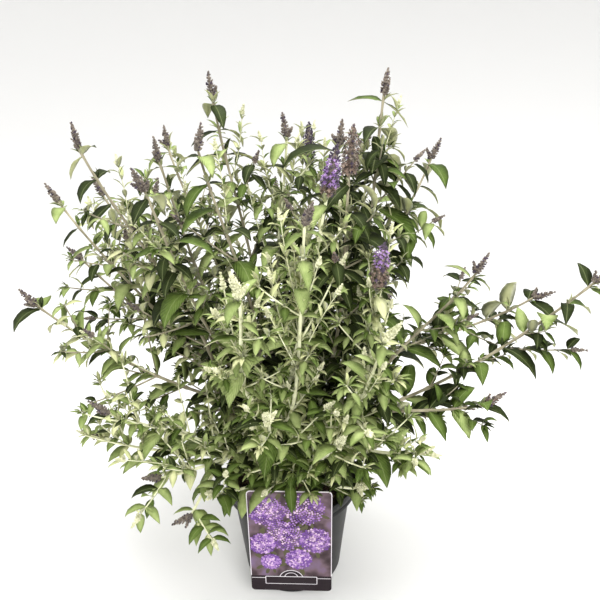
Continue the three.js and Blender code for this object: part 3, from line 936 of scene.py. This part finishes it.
# The young leaves that crowd in both axils of a node.
def hangTufts(growth, root, tangent, turn, draw, scale=1.0):
    # The young leaves' tones follow the bough's painted shade: darker where the bough has many deep leaves.
    weights = tuft["light"] if growth["shares"][0] < 4 else tuft["dark"]
    for side in (0, 180):
        if draw.random() > growth["tufts"]:
            continue
        heading = leaning(tangent, turn + side, tuft["fork"], 0)
        tone = draw.choices(tones, weights)[0]
        for k in range(draw.choice(tuft["leaves"])):
            around = k * 180 + 90 * (k // 2) + draw.uniform(-tuft["scatter"], tuft["scatter"])
            direction = leaning(heading, around, draw.uniform(*tuft["lean"]), tuft["sag"])
            length = draw.uniform(*tuft["leaf"]) * scale * growth["tuft"]
            hangLeaf("tufts", tone, root + heading * tuft["out"], direction, length, draw)


def twigRadii(scale=1):
    return [blend(twig["thick"], twig["thin"], k / twig["steps"]) * scale for k in range(twig["steps"] + 1)]


# A twig with pairs of leaves, and a spike or a tuft at its tip. Short twigs are slim.
def growTwig(growth, root, heading, reach, draw, pairs, leafLength, spin, state):
    dip, rise = twig["bow"]
    middle, tip = root + heading * reach * 0.5, root + heading * reach + up * reach * rise
    if not isClear(middle, tip):
        return
    path = Path([root, middle - up * reach * dip, tip], twig["steps"])
    radii = twigRadii(min(1, 0.5 + reach / twig["slim"]) * fine["twigStout"])
    grown["twigs"][growth["stem"]].append((path.points, radii))
    for k, share in enumerate(pairs):
        length = leafLength * blend(1, fine["shrink"], share)
        hangPair(growth["shares"], share, path.at(share), path.tangent(share), spin, length, draw)
        if k % 2 == 0:
            hangTufts(growth, path.at(share), path.tangent(share), spin, draw, tuft["onTwig"])
        spin += 90
    if state:
        foot = path.at(twig["end"])
        grown["spikes"].append((foot, heading, twigSpike["long"], twigSpike["radius"], state))
    else:
        hangTufts(growth, path.at(twig["tuftAt"]), heading, spin, draw, tuft["atTip"])


def growSideTwig(growth, point, tangent, around, draw):
    around += draw.uniform(-sideTwig["scatter"], sideTwig["scatter"])
    heading = twigHeading(tangent, around, draw.uniform(*sideTwig["lean"]), growth["rise"])
    reach, length = draw.uniform(*sideTwig["long"]) * growth["reach"], sideTwig["leaf"] * growth["leaf"]
    growTwig(growth, point, heading, reach, draw, sideTwig["pairs"], length, draw.uniform(0, 180), None)


# A slender young twig, close to its stem, feathered with small pale leaves and topped with buds.
def growFeather(point, tangent, around, draw):
    heading = twigHeading(tangent, around, draw.uniform(*feather["lean"]), feather["rise"])
    reach = draw.uniform(*feather["long"])
    tip = point + heading * reach
    if not isClear(tip):
        return
    bowed = point + heading * reach * 0.5 + squareTo(heading, around) * reach * feather["bow"]
    path = Path([point, bowed, tip], twig["steps"])
    radii = [feather["thick"] * (1 - feather["taper"] * k) for k in range(twig["steps"] + 1)]
    grown["twigs"]["cream"].append((path.points, radii))
    along, turn, scatter = reach * feather["first"], draw.uniform(0, 180), feather["leafScatter"]
    while along < reach:
        place, way = path.at(along / reach), path.tangent(along / reach)
        for side in (0, 180):
            aside = turn + side + draw.uniform(-scatter, scatter)
            direction = leaning(way, aside, draw.uniform(*feather["leafLean"]), feather["sag"])
            tone = draw.choices(tones, feather["tones"])[0]
            hangLeaf("tufts", tone, place, direction, draw.uniform(*feather["leaf"]), draw)
        along += feather["gap"] * draw.uniform(*feather["gaps"])
        turn += 90
    long, radius = twigSpike["long"] * feather["spikeLong"], twigSpike["radius"] * feather["spikeThick"]
    grown["spikes"].append((tip - heading * feather["spikeSunk"], heading, long, radius, "cream"))


# A stem swells a little at each node.
def stemRadii(path, thick, thin, nodes):
    steps = len(path.points) - 1
    radii = [blend(thick, thin, k / steps) for k in range(steps + 1)]
    for share in nodes:
        radii[min(steps, round(share * steps))] *= shoot["swell"]
    return radii


# The spike at a shoot's tip, a little off its axis, often with lesser ones beside it.
def topSpike(name, stem, draw):
    flowers = name in flowering
    top = panicle if flowers else spike
    state = spikeStates.get(name, "grey")
    share = 1 - spike["overlap"] * top["long"] / stem.length
    foot, axis = stem.at(share), stem.tangent(1)
    bend = squareTo(axis, draw.uniform(0, 360)) * draw.uniform(0, top["bend"])
    grown["spikes"].append((foot, (axis + bend).normalized(), top["long"], top["radius"], state))
    if not flowers:
        long = twigSpike["long"] * spike["lesser"]
        for side in draw.sample((0, 180), draw.choice((1, 2))):
            aside = leaning(axis, side + draw.uniform(0, 90), spike["aside"], 0)
            grown["spikes"].append((foot, aside, long, twigSpike["radius"], state))
    return share, top["long"], state


# A node of the frame's: two leaves and, at every second node, a twig, placed by the frame's own draws.
def growNode(growth, stem, share, count, turn, state, nodeDraw, draw):
    point, tangent = stem.at(share), stem.tangent(share)
    length = blend(fine["leafLong"], fine["leafShort"], share ** leaf["taper"]) * growth["leaf"]
    for side in (0, 180):
        size = length * blend(*leaf["sizes"], nodeDraw())
        if count == 0:
            size *= draw.uniform(*fine["leafTop"])
        around = turn + side + nodeDraw() * leaf["scatter"] - leaf["scatter"] / 2
        sag = leaf["sag"] * blend(*leaf["sags"], nodeDraw())
        direction = leaning(tangent, around, leaf["lean"], sag)
        hangLeaf("leaves", pickTone(growth["shares"], draw, share), point, direction, size, draw)
    reach = blend(twig["long"], twig["short"], share) * blend(*twig["reaches"], nodeDraw())
    around = turn + twig["aside"] + (0 if nodeDraw() < 0.5 else 180)
    hangTufts(growth, point, tangent, turn, draw)
    if share < twig["last"] and count % 2 == 0:
        heading = twigHeading(tangent, around, twig["lean"], twig["rise"])
        spin = nodeDraw() * 180
        # The frame draws this often for the leaves of its twig.
        for _ in range(twig["draws"]):
            nodeDraw()
        if state not in ("cream", "faded"):
            state = draw.choices(("grey", "cream", "dusk"), besideFlowers[growth["stem"]])[0]
        length = fine["twigLeaf"] * growth["leaf"]
        growTwig(growth, point, heading, reach, draw, fine["twigPairs"], length, spin, state)
    elif share < fine["twigsTo"] and growth["twigs"]:
        growSideTwig(growth, point, tangent, turn + 180, draw)


# The finer growth half way to the next node.
def growBetween(growth, stem, share, turn, draw):
    point, tangent = stem.at(share), stem.tangent(share)
    size = blend(fine["leafLong"], fine["leafShort"], share ** leaf["taper"])
    size = size * draw.uniform(*fine["between"]) * growth["leaf"]
    hangPair(growth["shares"], share, point, tangent, turn + 90, size, draw)
    hangTufts(growth, point, tangent, turn + 90, draw)
    for side in range(growth["twigs"] if share < fine["twigsTo"] else 0):
        growSideTwig(growth, point, tangent, turn + 90 + 360 / growth["twigs"] * side, draw)
    for side in range(growth["feathers"] if share < fine["feathersTo"] else 0):
        scatter = draw.uniform(-feather["scatter"], feather["scatter"])
        growFeather(point, tangent, turn + 180 * side + scatter, draw)


def growShoot(name, start, heading, tip, seed):
    stem = stemPath(start, heading, tip)
    nodeDraw, draw = drawsFrom(seed), random.Random(seed)
    family = "basal" if name.startswith("basal") else name.rsplit("_", 1)[0]
    growth = habits["spare" if name in spareShoots else family]
    topShare, topLong, state = topSpike(name, stem, draw)
    turn, count, nodes = nodeDraw() * 180, 0, []
    along = stem.length - topLong - shoot["lastNode"]
    while along > shoot["firstNode"]:
        share = along / stem.length
        gap = shoot["internode"] * (1 - shoot["crowding"] * share)
        between = (along - gap / 2) / stem.length
        growNode(growth, stem, share, count, turn, state, nodeDraw, draw)
        nodes.append(share)
        if between * stem.length > shoot["firstNode"]:
            growBetween(growth, stem, between, turn, draw)
            nodes.append(between)
        turn += 90
        along -= gap
        count += 1
    radii = stemRadii(stem, shoot["thick"] * fine["stout"], shoot["thin"] * fine["stout"], nodes)
    last = sum(run < topShare * stem.length for run in stem.runs)
    points = stem.points[:last] + [stem.at(topShare + shoot["intoSpike"])]
    grown["stems"][growth["stem"]].append((points, radii[:last + 1]))


# Leafy side twigs along a bough, and low sprouts from the stool, fill the heart of the bush.
def growOnBough(path, growth, seed):
    draw = random.Random(seed)
    for k, share in enumerate(fine["boughNodes"]):
        point, tangent = path.at(share), path.tangent(share)
        size = fine["leafShort"] * growth["leaf"]
        hangPair(growth["shares"], share, point, tangent, k * 90 + draw.uniform(0, 90), size, draw)
        for side in (0, 120, 240):
            growSideTwig(growth, point, tangent, k * 90 + side + 45, draw)


def growSprouts():
    draw, growth = random.Random(sprout["seed"]), habits["basal"]
    pairs, length = fine["twigPairs"][1:3], fine["leafShort"]
    for k in range(sprout["count"]):
        azimuth = 360 * k / sprout["count"] + draw.uniform(-sprout["scatter"], sprout["scatter"])
        heading = polar(azimuth, draw.uniform(*sprout["rise"]))
        root, reach = heart + heading * (stool["head"] - sprout["sunk"]), draw.uniform(*sprout["reach"])
        spin = draw.uniform(0, 180)
        growTwig(growth, root, heading, reach, draw, pairs, length, spin, "cream")


# A short sprig leans over the top of the card and hangs two leaves before it.
sprig = {
    "heading": (-0.25, -0.4, -0.88), "bend": (0, -8, -6), "reach": 32, "seed": 3,
    "leaves": (((0.1, -0.55, -0.83), 44), ((-0.8, -0.5, -0.35), 34)),
}


def growSprig(path):
    root, heading = path.points[-1], Vector(sprig["heading"]).normalized()
    line = Path([root, root + Vector(sprig["bend"]), root + heading * sprig["reach"]], twig["steps"])
    grown["twigs"]["cream"].append((line.points, twigRadii()))
    for way, length in sprig["leaves"]:
        draw = random.Random(sprig["seed"])
        hangLeaf("leaves", "mid", line.at(twig["tuftAt"]), Vector(way).normalized(), length, draw, False)


def seedOf(count):
    return seeds["first"] + seeds["step"] * count


boughPaths = []
shootCount = 0
for boughName, (azimuth, elevation, reach, height, tips) in boughs.items():
    path = boughPath(azimuth, elevation, reach, height)
    boughPaths.append(path)
    growOnBough(path, habits[boughName], len(boughPaths))
    ends = [placeAt(*tip) for tip in tips]
    for i, heading in enumerate(splayedHeadings(path, ends)):
        start = path.points[-1] + heading * (bough["knuckle"] * 0.5)
        growShoot(f"{boughName}_{i + 1}", start, heading, ends[i], seedOf(shootCount))
        shootCount += 1
for basalName, tip in basal.items():
    heading = polar(tip[0], basalElevation)
    start = heart + heading * (stool["head"] - stool["sunk"])
    growShoot(basalName, start, heading, placeAt(*tip), seedOf(shootCount))
    shootCount += 1
growSprouts()
growSprig(boughPaths[list(boughs).index("front_low")])
leafCounts = [sum(map(len, grown[kind].values())) for kind in ("leaves", "tufts")]
print(f"grew {shootCount} shoots, {leafCounts} leaves and young leaves, {len(grown['spikes'])} spikes")


wood = {
    "voxel": 1.2, "sides": 14, "inside": 3, "knuckle": 1.7, "knuckleSteps": 3, "wave": 0.35,
    "waveScale": 9, "drops": (17, 8), "segments": 48, "lump": 2.2, "lumpReach": 42,
    "relief": 0.5, "grain": (3.2, 3.2, 12), "fractal": (0.8, 2.0, 3), "fibre": (420, 6, 0.65),
    "bark": ((0.3, (0.06, 0.043, 0.026)), (0.52, (0.19, 0.145, 0.09)), (0.75, (0.38, 0.32, 0.21))),
}


# A bough's line starts inside the stool, so that both fuse.
def boughLine(path):
    steps, thick = len(path.points) - 1, bough["thick"]
    inside = wood["inside"]
    points = [heart.lerp(path.points[0], k / (inside + 1)) for k in range(1, inside + 1)]
    radii = [thick * 1.2] * inside
    for k, point in enumerate(path.points):
        swelling = wood["knuckle"] * max(0, 1 - (steps - k) / wood["knuckleSteps"])
        wave = wood["wave"] * noise.noise(point / wood["waveScale"])
        radii.append(blend(thick, bough["thin"], k / steps) + swelling + wave)
    return points + path.points, radii


# The stool and its boughs are fused into one skin, which then gets its lumps and its stringy relief.
def makeWood():
    bark = noiseMaterial(
        "boughBark", (1, 1, 0.22), wood["fibre"], wood["bark"], relief=(wood["fibre"], 0.7, 0.0012),
        Roughness=0.85, Specular_IOR_Level=0.25,
    )
    limbs = tubesFrom("limbs", [boughLine(path) for path in boughPaths], wood["sides"], bark)
    z, head, (collar, waist) = heart.z, stool["head"], wood["drops"]
    profile = [(0, z - stool["height"]), (stool["flare"], z - stool["height"])]
    profile += [(stool["collar"], z - collar), (stool["waist"], z - waist), (head, z)]
    profile += arcPoints(0, z, head, head, 30, 60, 1)
    knob = turnedMesh("knob", profile + [(0, z + head)], wood["segments"], bark)
    whole = joinPieces("stoolAndBoughs", [knob, limbs])
    remesh = whole.modifiers.new("fuse", "REMESH")
    remesh.mode = "VOXEL"
    remesh.voxel_size = wood["voxel"] * mm
    remesh.use_smooth_shade = True
    takeEvaluated(whole)
    whole.data.materials.clear()
    whole.data.materials.append(bark)
    normals = [vertex.normal.copy() for vertex in whole.data.vertices]
    for vertex, normal in zip(whole.data.vertices, normals):
        place = vertex.co / mm
        grain = Vector([part / size for part, size in zip(place, wood["grain"])])
        ridge = noise.fractal(grain, *wood["fractal"])
        nearness = max(0, 1 - (place - heart).length / wood["lumpReach"])
        lump = noise.noise(place / wood["waveScale"]) * wood["lump"] * nearness
        vertex.co += normal * (ridge * wood["relief"] + lump) * mm
    return whole


finishPiece(makeWood(), "bough_bark", "stool", *boughNodes)
print("wood made")


stemShades = {
    "cream": ((0.60, 0.60, 0.36), (0.89, 0.91, 0.64)),
    "grey": ((0.20, 0.175, 0.115), (0.43, 0.39, 0.27)),
}


def stemMaterial(shade):
    low, high = stemShades[shade]
    return noiseMaterial(
        shade + "Stem", (1, 1, 0.4), (60, 4), ((0.32, low), (0.7, high)), relief=((900, 3), 0.3, 0.0004),
        Roughness=0.75, Specular_IOR_Level=0.3, Sheen_Weight=0.2,
    )


for shade in stemShades:
    skin = stemMaterial(shade)
    for kind, sides in (("stems", 8), ("twigs", 6)):
        tubes = tubesFrom(f"{kind}_{shade}", grown[kind][shade], sides, skin)
        finishPiece(tubes, "young_stem", *foliageNodes)
print("stems drawn")


# Widths of a blade at shares of its length, then each leaf's curl, slimness, fold, twist and ripple.
blade = {
    "rows": (
        (0, 0.05), (0.06, 0.15), (0.14, 0.6), (0.26, 0.92),
        (0.4, 1), (0.56, 0.9), (0.73, 0.62), (0.88, 0.27),
    ),
    "smallRows": ((0, 0.08), (0.25, 0.8), (0.52, 0.95), (0.8, 0.5)),
    "slim": 0.42, "thick": 0.007, "ripples": 2.3, "small": (46, 0.72, 22, 0, 0),
    "full": (
        (78, 1, 15, 0.2, 0.01), (56, 0.94, 20, -0.25, -0.01),
        (94, 1.06, 12, 0.1, 0.014), (34, 1, 13, 0.2, 0.01),
    ),
}


# One leaf, a unit long and closed: its rib arches from root to tip in the YZ plane and its halves fold up
# from it, more towards the tip. Its lower faces are marked as under.
def leafModel(name, rows, curl, slimness, fold, twist, ripple):
    half, lift, slim = math.radians(curl) / 2, math.tan(math.radians(fold)), blade["slim"] * slimness
    radius = 0.5 / math.sin(half)
    points, rings = [], []
    for k, (t, wide) in enumerate(rows):
        angle, turn = half * (2 * t - 1), twist * t
        centre = Vector((0, 0.5 + radius * math.sin(angle), radius * (math.cos(angle) - math.cos(half))))
        normal = Vector((0, math.sin(angle), math.cos(angle)))
        rings.append([len(points) + i for i in range(4)])
        for side in (-1, 0, 1):
            reach, wave = side * wide * slim / 2, abs(side) * ripple * math.sin(k * blade["ripples"])
            rise = abs(reach) * lift * (0.5 + t) + reach * math.sin(turn) + wave
            points.append(centre + Vector((reach * math.cos(turn), 0, 0)) + normal * rise)
        points.append(centre - normal * blade["thick"])
    tip = len(points)
    points.append(Vector((0, 1, 0)))
    faces, under = [], []
    for (left, rib, right, low), (left2, rib2, right2, low2) in zip(rings, rings[1:]):
        faces += [(left, rib, rib2), (left, rib2, left2), (rib, right, rib2), (right, right2, rib2)]
        faces += [(low2, low, left), (low2, left, left2), (low, low2, right), (right, low2, right2)]
        under += [False] * 4 + [True] * 4
    left, rib, right, low = rings[-1]
    faces += [(left, rib, tip), (rib, right, tip), (right, low, tip), (low, left, tip)]
    left, rib, right, low = rings[0]
    faces += [(left, low, rib), (rib, low, right)]
    under += [False, False, True, True, True, True]
    model = objectFrom(name, points, faces)
    model.data.polygons.foreach_set("use_smooth", [True] * len(faces))
    model.data.attributes.new("under", "BOOLEAN", "FACE").data.foreach_set("value", under)
    layer = model.data.uv_layers.new(name="UVMap")
    for loop in model.data.loops:
        place = points[loop.vertex_index]
        layer.data[loop.index].uv = (0.5 + place.x / slim, place.y)
    return model


# The deep tone, darker than the leaves' own green, is partly painted shade for leaves in the shade of the
# bush; the soft and young tones are partly painted light for the lit front.
leafShades = {
    "deep": ((0.013, 0.021, 0.003), (0.034, 0.050, 0.010)),
    "mid": ((0.052, 0.088, 0.011), (0.118, 0.175, 0.036)),
    "soft": ((0.18, 0.245, 0.067), (0.37, 0.44, 0.175)),
    "young": ((0.44, 0.48, 0.21), (0.71, 0.72, 0.42)),
}
feltShades = ((0.34, (0.31, 0.33, 0.14)), (0.68, (0.53, 0.54, 0.30)))
veins = {"count": 52, "depth": 0.0008, "rib": 0.035, "ribPale": 0.38, "ribTone": (0.30, 0.34, 0.15)}


# A leaf's face, with a pale rib and slanting veins by its UV map.
def leafMaterial(tone):
    low, high = leafShades[tone]
    material, tree, shader = newMaterial("leafFace_" + tone, Roughness=0.6, Specular_IOR_Level=0.16)
    colour = rampOf(tree, noiseAt(tree, objectPlace(tree), 34, 5, 0.62), (0.34, low), (0.66, high))
    layer = shaderNode(tree, "ShaderNodeUVMap", uv_map="UVMap")
    parts = shaderNode(tree, "ShaderNodeSeparateXYZ", {"Vector": layer.outputs["UV"]})
    away = mathNode(tree, "ABSOLUTE", mathNode(tree, "SUBTRACT", parts.outputs["X"], 0.5))
    rib = shaderNode(tree, "ShaderNodeMapRange", {
        "Value": away, "From Max": veins["rib"], "To Min": veins["ribPale"], "To Max": 0.0,
    })
    ribbed = mixColours(tree, rib.outputs["Result"], colour, veins["ribTone"])
    tree.links.new(ribbed, shader.inputs["Base Color"])
    slant = mathNode(tree, "SUBTRACT", parts.outputs["Y"], away)
    wave = mathNode(tree, "SINE", mathNode(tree, "MULTIPLY", slant, veins["count"]))
    tree.links.new(bumpFrom(tree, wave, 0.35, veins["depth"]), shader.inputs["Normal"])
    return material


def makeLeaves():
    felt = noiseMaterial(
        "leafFelt", (1, 1, 1), (40, 3), feltShades, relief=((1400, 2), 0.3, 0.0003),
        Roughness=0.9, Specular_IOR_Level=0.15, Sheen_Weight=0.3,
    )
    faces = {tone: leafMaterial(tone) for tone in tones}
    models = {
        "leaves": [leafModel("fullLeaf", blade["rows"], *form) for form in blade["full"]],
        "tufts": [leafModel("smallLeaf", blade["smallRows"], *blade["small"])],
    }
    for kind, blades in models.items():
        for tone, face in faces.items():
            seats, parts = grown[kind][tone], []
            for k, model in enumerate(blades):
                parts.append(seatCopies("part", model, seats[k::len(blades)], face, felt))
            finishPiece(joinPieces(f"{kind}_{tone}", parts), "foliage", *foliageNodes)
            print(kind, tone, len(seats))
        for model in blades:
            bpy.data.objects.remove(model)


makeLeaves()
print("leaves hung")


bloomShades = {
    "grey": ((0.070, 0.054, 0.046), (0.24, 0.20, 0.16)),
    "cream": ((0.42, 0.43, 0.25), (0.76, 0.75, 0.54)),
    "violet": ((0.11, 0.05, 0.185), (0.39, 0.25, 0.48)),
    "dusk": ((0.022, 0.016, 0.028), (0.085, 0.058, 0.095)),
    "faded": ((0.055, 0.034, 0.026), (0.27, 0.195, 0.15)),
}

# What stands on a spike in each state, as (share of its length, kind, form) from its foot up.
spikePlans = {
    "grey": ((1, "grey", "bud"),),
    "cream": ((1, "cream", "bud"),),
    "dusk": ((1, "dusk", "bud"),),
    "faded": ((0.8, "faded", "flower"), (1, "faded", "bud")),
    "inFlower": ((0.16, "faded", "flower"), (0.7, "violet", "flower"), (1, "dusk", "bud")),
    "fading": ((0.45, "faded", "flower"), (0.86, "violet", "flower"), (1, "dusk", "bud")),
}
strays = {
    "violet": ["violet"] * 3 + ["dusk"],
    "faded": ["faded"] * 5 + ["dusk", "grey", "grey"],
    "grey": ["grey"] * 7 + ["dusk"],
}
# Small spikes and panicles: (pitch of their rings, size of a bud, of a flower, buds in the lowest ring).
whorls = {"small": (3.5, 5.4, None, 10), "grand": (3.0, 6, 7.6, 15)}
whorl = {
    "rings": 5, "fewest": 5, "turn": 12, "slide": 0.8, "spreads": (0.7, 1.1), "sizes": (0.75, 1.15),
    "shrink": 0.3, "tuck": 0.75, "stout": 1.4, "shorter": 0.92, "seed": 77,
    "core": ((0, 0.4), (0.2, 1), (0.5, 0.95), (0.8, 0.6), (0.97, 0.15)), "coreThick": 0.42,
}


def bloomMaterial(kind):
    low, high = bloomShades[kind]
    return noiseMaterial(
        "bloom_" + kind, (1, 1, 1), (190, 3), ((0.36, low), (0.66, high)),
        Roughness=0.8, Specular_IOR_Level=0.2, Sheen_Weight=0.2,
    )


# The k-th of count points on a ring round the upright axis.
def ringPoint(k, count, radius, height):
    angle = 2 * math.pi * k / count
    return (radius * math.cos(angle), radius * math.sin(angle), height)


# A closed bud, a unit long: a pointed grain of four sides.
def budModel():
    ring = [(0.36 * math.cos(a), 0.36 * math.sin(a), 0.5) for a in (0.4, 1.97, 3.54, 5.11)]
    faces = [(0, 1 + (k + 1) % 4, 1 + k) for k in range(4)]
    faces += [(5, 1 + k, 1 + (k + 1) % 4) for k in range(4)]
    return objectFrom("bud", [(0, 0, 0), *ring, (0, 0, 1)], faces)


# An open flower, a unit long: a slim tube under four lobes, as one closed skin.
def flowerModel():
    neck = [ringPoint(k, 4, 0.09, 0.7) for k in range(4)]
    rim = [ringPoint(k, 8, *((0.2, 0.82) if k % 2 else (0.46, 0.9))) for k in range(8)]
    faces = [(0, 1 + (k + 1) % 4, 1 + k) for k in range(4)]
    for k in range(4):
        after, lobe, notch, lobe2 = (k + 1) % 4, 5 + 2 * k, 6 + 2 * k, 5 + (2 * k + 2) % 8
        faces += [(1 + k, 1 + after, notch), (1 + k, notch, lobe), (1 + after, lobe2, notch)]
    faces += [(13, 5 + k, 5 + (k + 1) % 8) for k in range(8)]
    return objectFrom("flower", [(0, 0, 0), *neck, *rim, (0, 0, 0.86)], faces)


# Rings of buds or flowers, each turned half a step from the last, closing to the tip of the spike.
def ringSeats(root, axis, long, radius, state, draw, seats):
    grand = radius > panicle["radius"] * 0.9
    pitch, budSize, flowerSize, most = whorls["grand" if grand else "small"]
    if not grand:
        budSize *= min(1, radius / spike["radius"] + 0.15)
    rings = max(whorl["rings"], round(long / pitch))
    for ring in range(rings):
        share = (ring + 0.5) / rings
        kind, form = next((kind, form) for limit, kind, form in spikePlans[state] if share <= limit)
        form = form if grand else "bud"
        size = flowerSize if form == "flower" else budSize
        swell = min(1, 0.72 + 1.5 * share) * (1 - share ** 3.5) ** 0.6
        count = round(blend(most, whorl["fewest"], share))
        for k in range(count):
            turn = 360 * (k + 0.5 * (ring % 2)) / count + draw.uniform(-whorl["turn"], whorl["turn"])
            out, spread = squareTo(axis, turn), swell * draw.uniform(*whorl["spreads"])
            way = (out * (1.15 - 0.8 * share) + axis * (0.35 + share)).normalized()
            length = size * draw.uniform(*whorl["sizes"]) * (1 - whorl["shrink"] * share)
            slide = draw.uniform(-whorl["slide"], whorl["slide"])
            reach = max(0, radius * spread - length * whorl["tuck"])
            point = root + axis * (long * share + slide) + out * reach
            chosen = draw.choice(strays.get(kind, [kind]))
            seats[chosen, form].append((point, way.to_track_quat("Z", "Y"), (length, length, length)))


def makeSpikes():
    draw = random.Random(whorl["seed"])
    seats = {(kind, form): [] for kind in bloomShades for form in ("bud", "flower")}
    cores = {"grey": [], "cream": []}
    for root, axis, long, radius, state in grown["spikes"]:
        if long < panicle["long"]:
            long, radius = long * whorl["shorter"], radius * whorl["stout"]
        ringSeats(root, axis, long, radius, state, draw, seats)
        line = [root + axis * long * share for share, wide in whorl["core"]]
        radii = [radius * wide * whorl["coreThick"] for share, wide in whorl["core"]]
        cores["cream" if state == "cream" else "grey"].append((line, radii))
    models = {"bud": budModel(), "flower": flowerModel()}
    for kind in bloomShades:
        material = bloomMaterial(kind)
        parts = []
        for form, model in models.items():
            if seats[kind, form]:
                parts.append(seatCopies("part", model, seats[kind, form], material))
        finishPiece(joinPieces("bloom_" + kind, parts), "blossom", *foliageNodes)
        if kind in cores:
            tubes = tubesFrom("spikeCores_" + kind, cores[kind], 6, material)
            finishPiece(tubes, "blossom", *foliageNodes)
    for model in models.values():
        bpy.data.objects.remove(model)


makeSpikes()
print("spikes budded")


stage = {
    "radius": 4200, "sweep": 3000, "wall": 200, "steps": 24, "segments": 96, "tone": (0.82, 0.82, 0.815, 1),
}
lights = {
    "overhead": {"place": (0.1, -0.1, 2.3), "size": 1.6, "power": 42},
    "front": {"place": (0.5, -1.5, 1.5), "size": 0.9, "power": 26},
    "left": {"place": (-1.9, -0.3, 1.2), "size": 1.2, "power": 12},
    "back": {"place": (0.6, 0.9, 2.5), "size": 1.2, "power": 16},
}
worldLight = {"colour": (1.0, 0.99, 0.975, 1), "strength": 0.8}
lightsAim = Vector((0, 0, 0.4))


def makeStage():
    inner = stage["radius"] - stage["sweep"]
    profile = [(0, 0), (inner / 2, 0), (inner, 0)]
    for k in range(1, stage["steps"] + 1):
        angle = math.pi / 2 * k / stage["steps"]
        profile.append((inner + stage["sweep"] * math.sin(angle), stage["sweep"] * (1 - math.cos(angle))))
    profile.append((stage["radius"], stage["sweep"] + stage["wall"]))
    material, _, shader = newMaterial("paleFloor", Roughness=0.7, Specular_IOR_Level=0.25)
    shader.inputs["Base Color"].default_value = stage["tone"]
    floor = turnedMesh("floor", profile, stage["segments"], material)
    floor.data.polygons.foreach_set("use_smooth", [True] * len(floor.data.polygons))


def makeLights():
    for name, light in lights.items():
        data = bpy.data.lights.new(name, "AREA")
        data.shape = "DISK"
        data.size = light["size"]
        data.energy = light["power"]
        lamp = bpy.data.objects.new(name, data)
        bpy.context.collection.objects.link(lamp)
        lamp.location = light["place"]
        lamp.rotation_euler = (lightsAim - lamp.location).to_track_quat("-Z", "Y").to_euler()
        lamp.visible_camera = False
    world = bpy.data.worlds.new("studio")
    world.use_nodes = True
    background = world.node_tree.nodes["Background"]
    background.inputs["Color"].default_value = worldLight["colour"]
    background.inputs["Strength"].default_value = worldLight["strength"]
    bpy.context.scene.world = world


makeStage()
makeLights()
bpy.context.scene.view_settings.view_transform = "Standard"
print("stage lit")
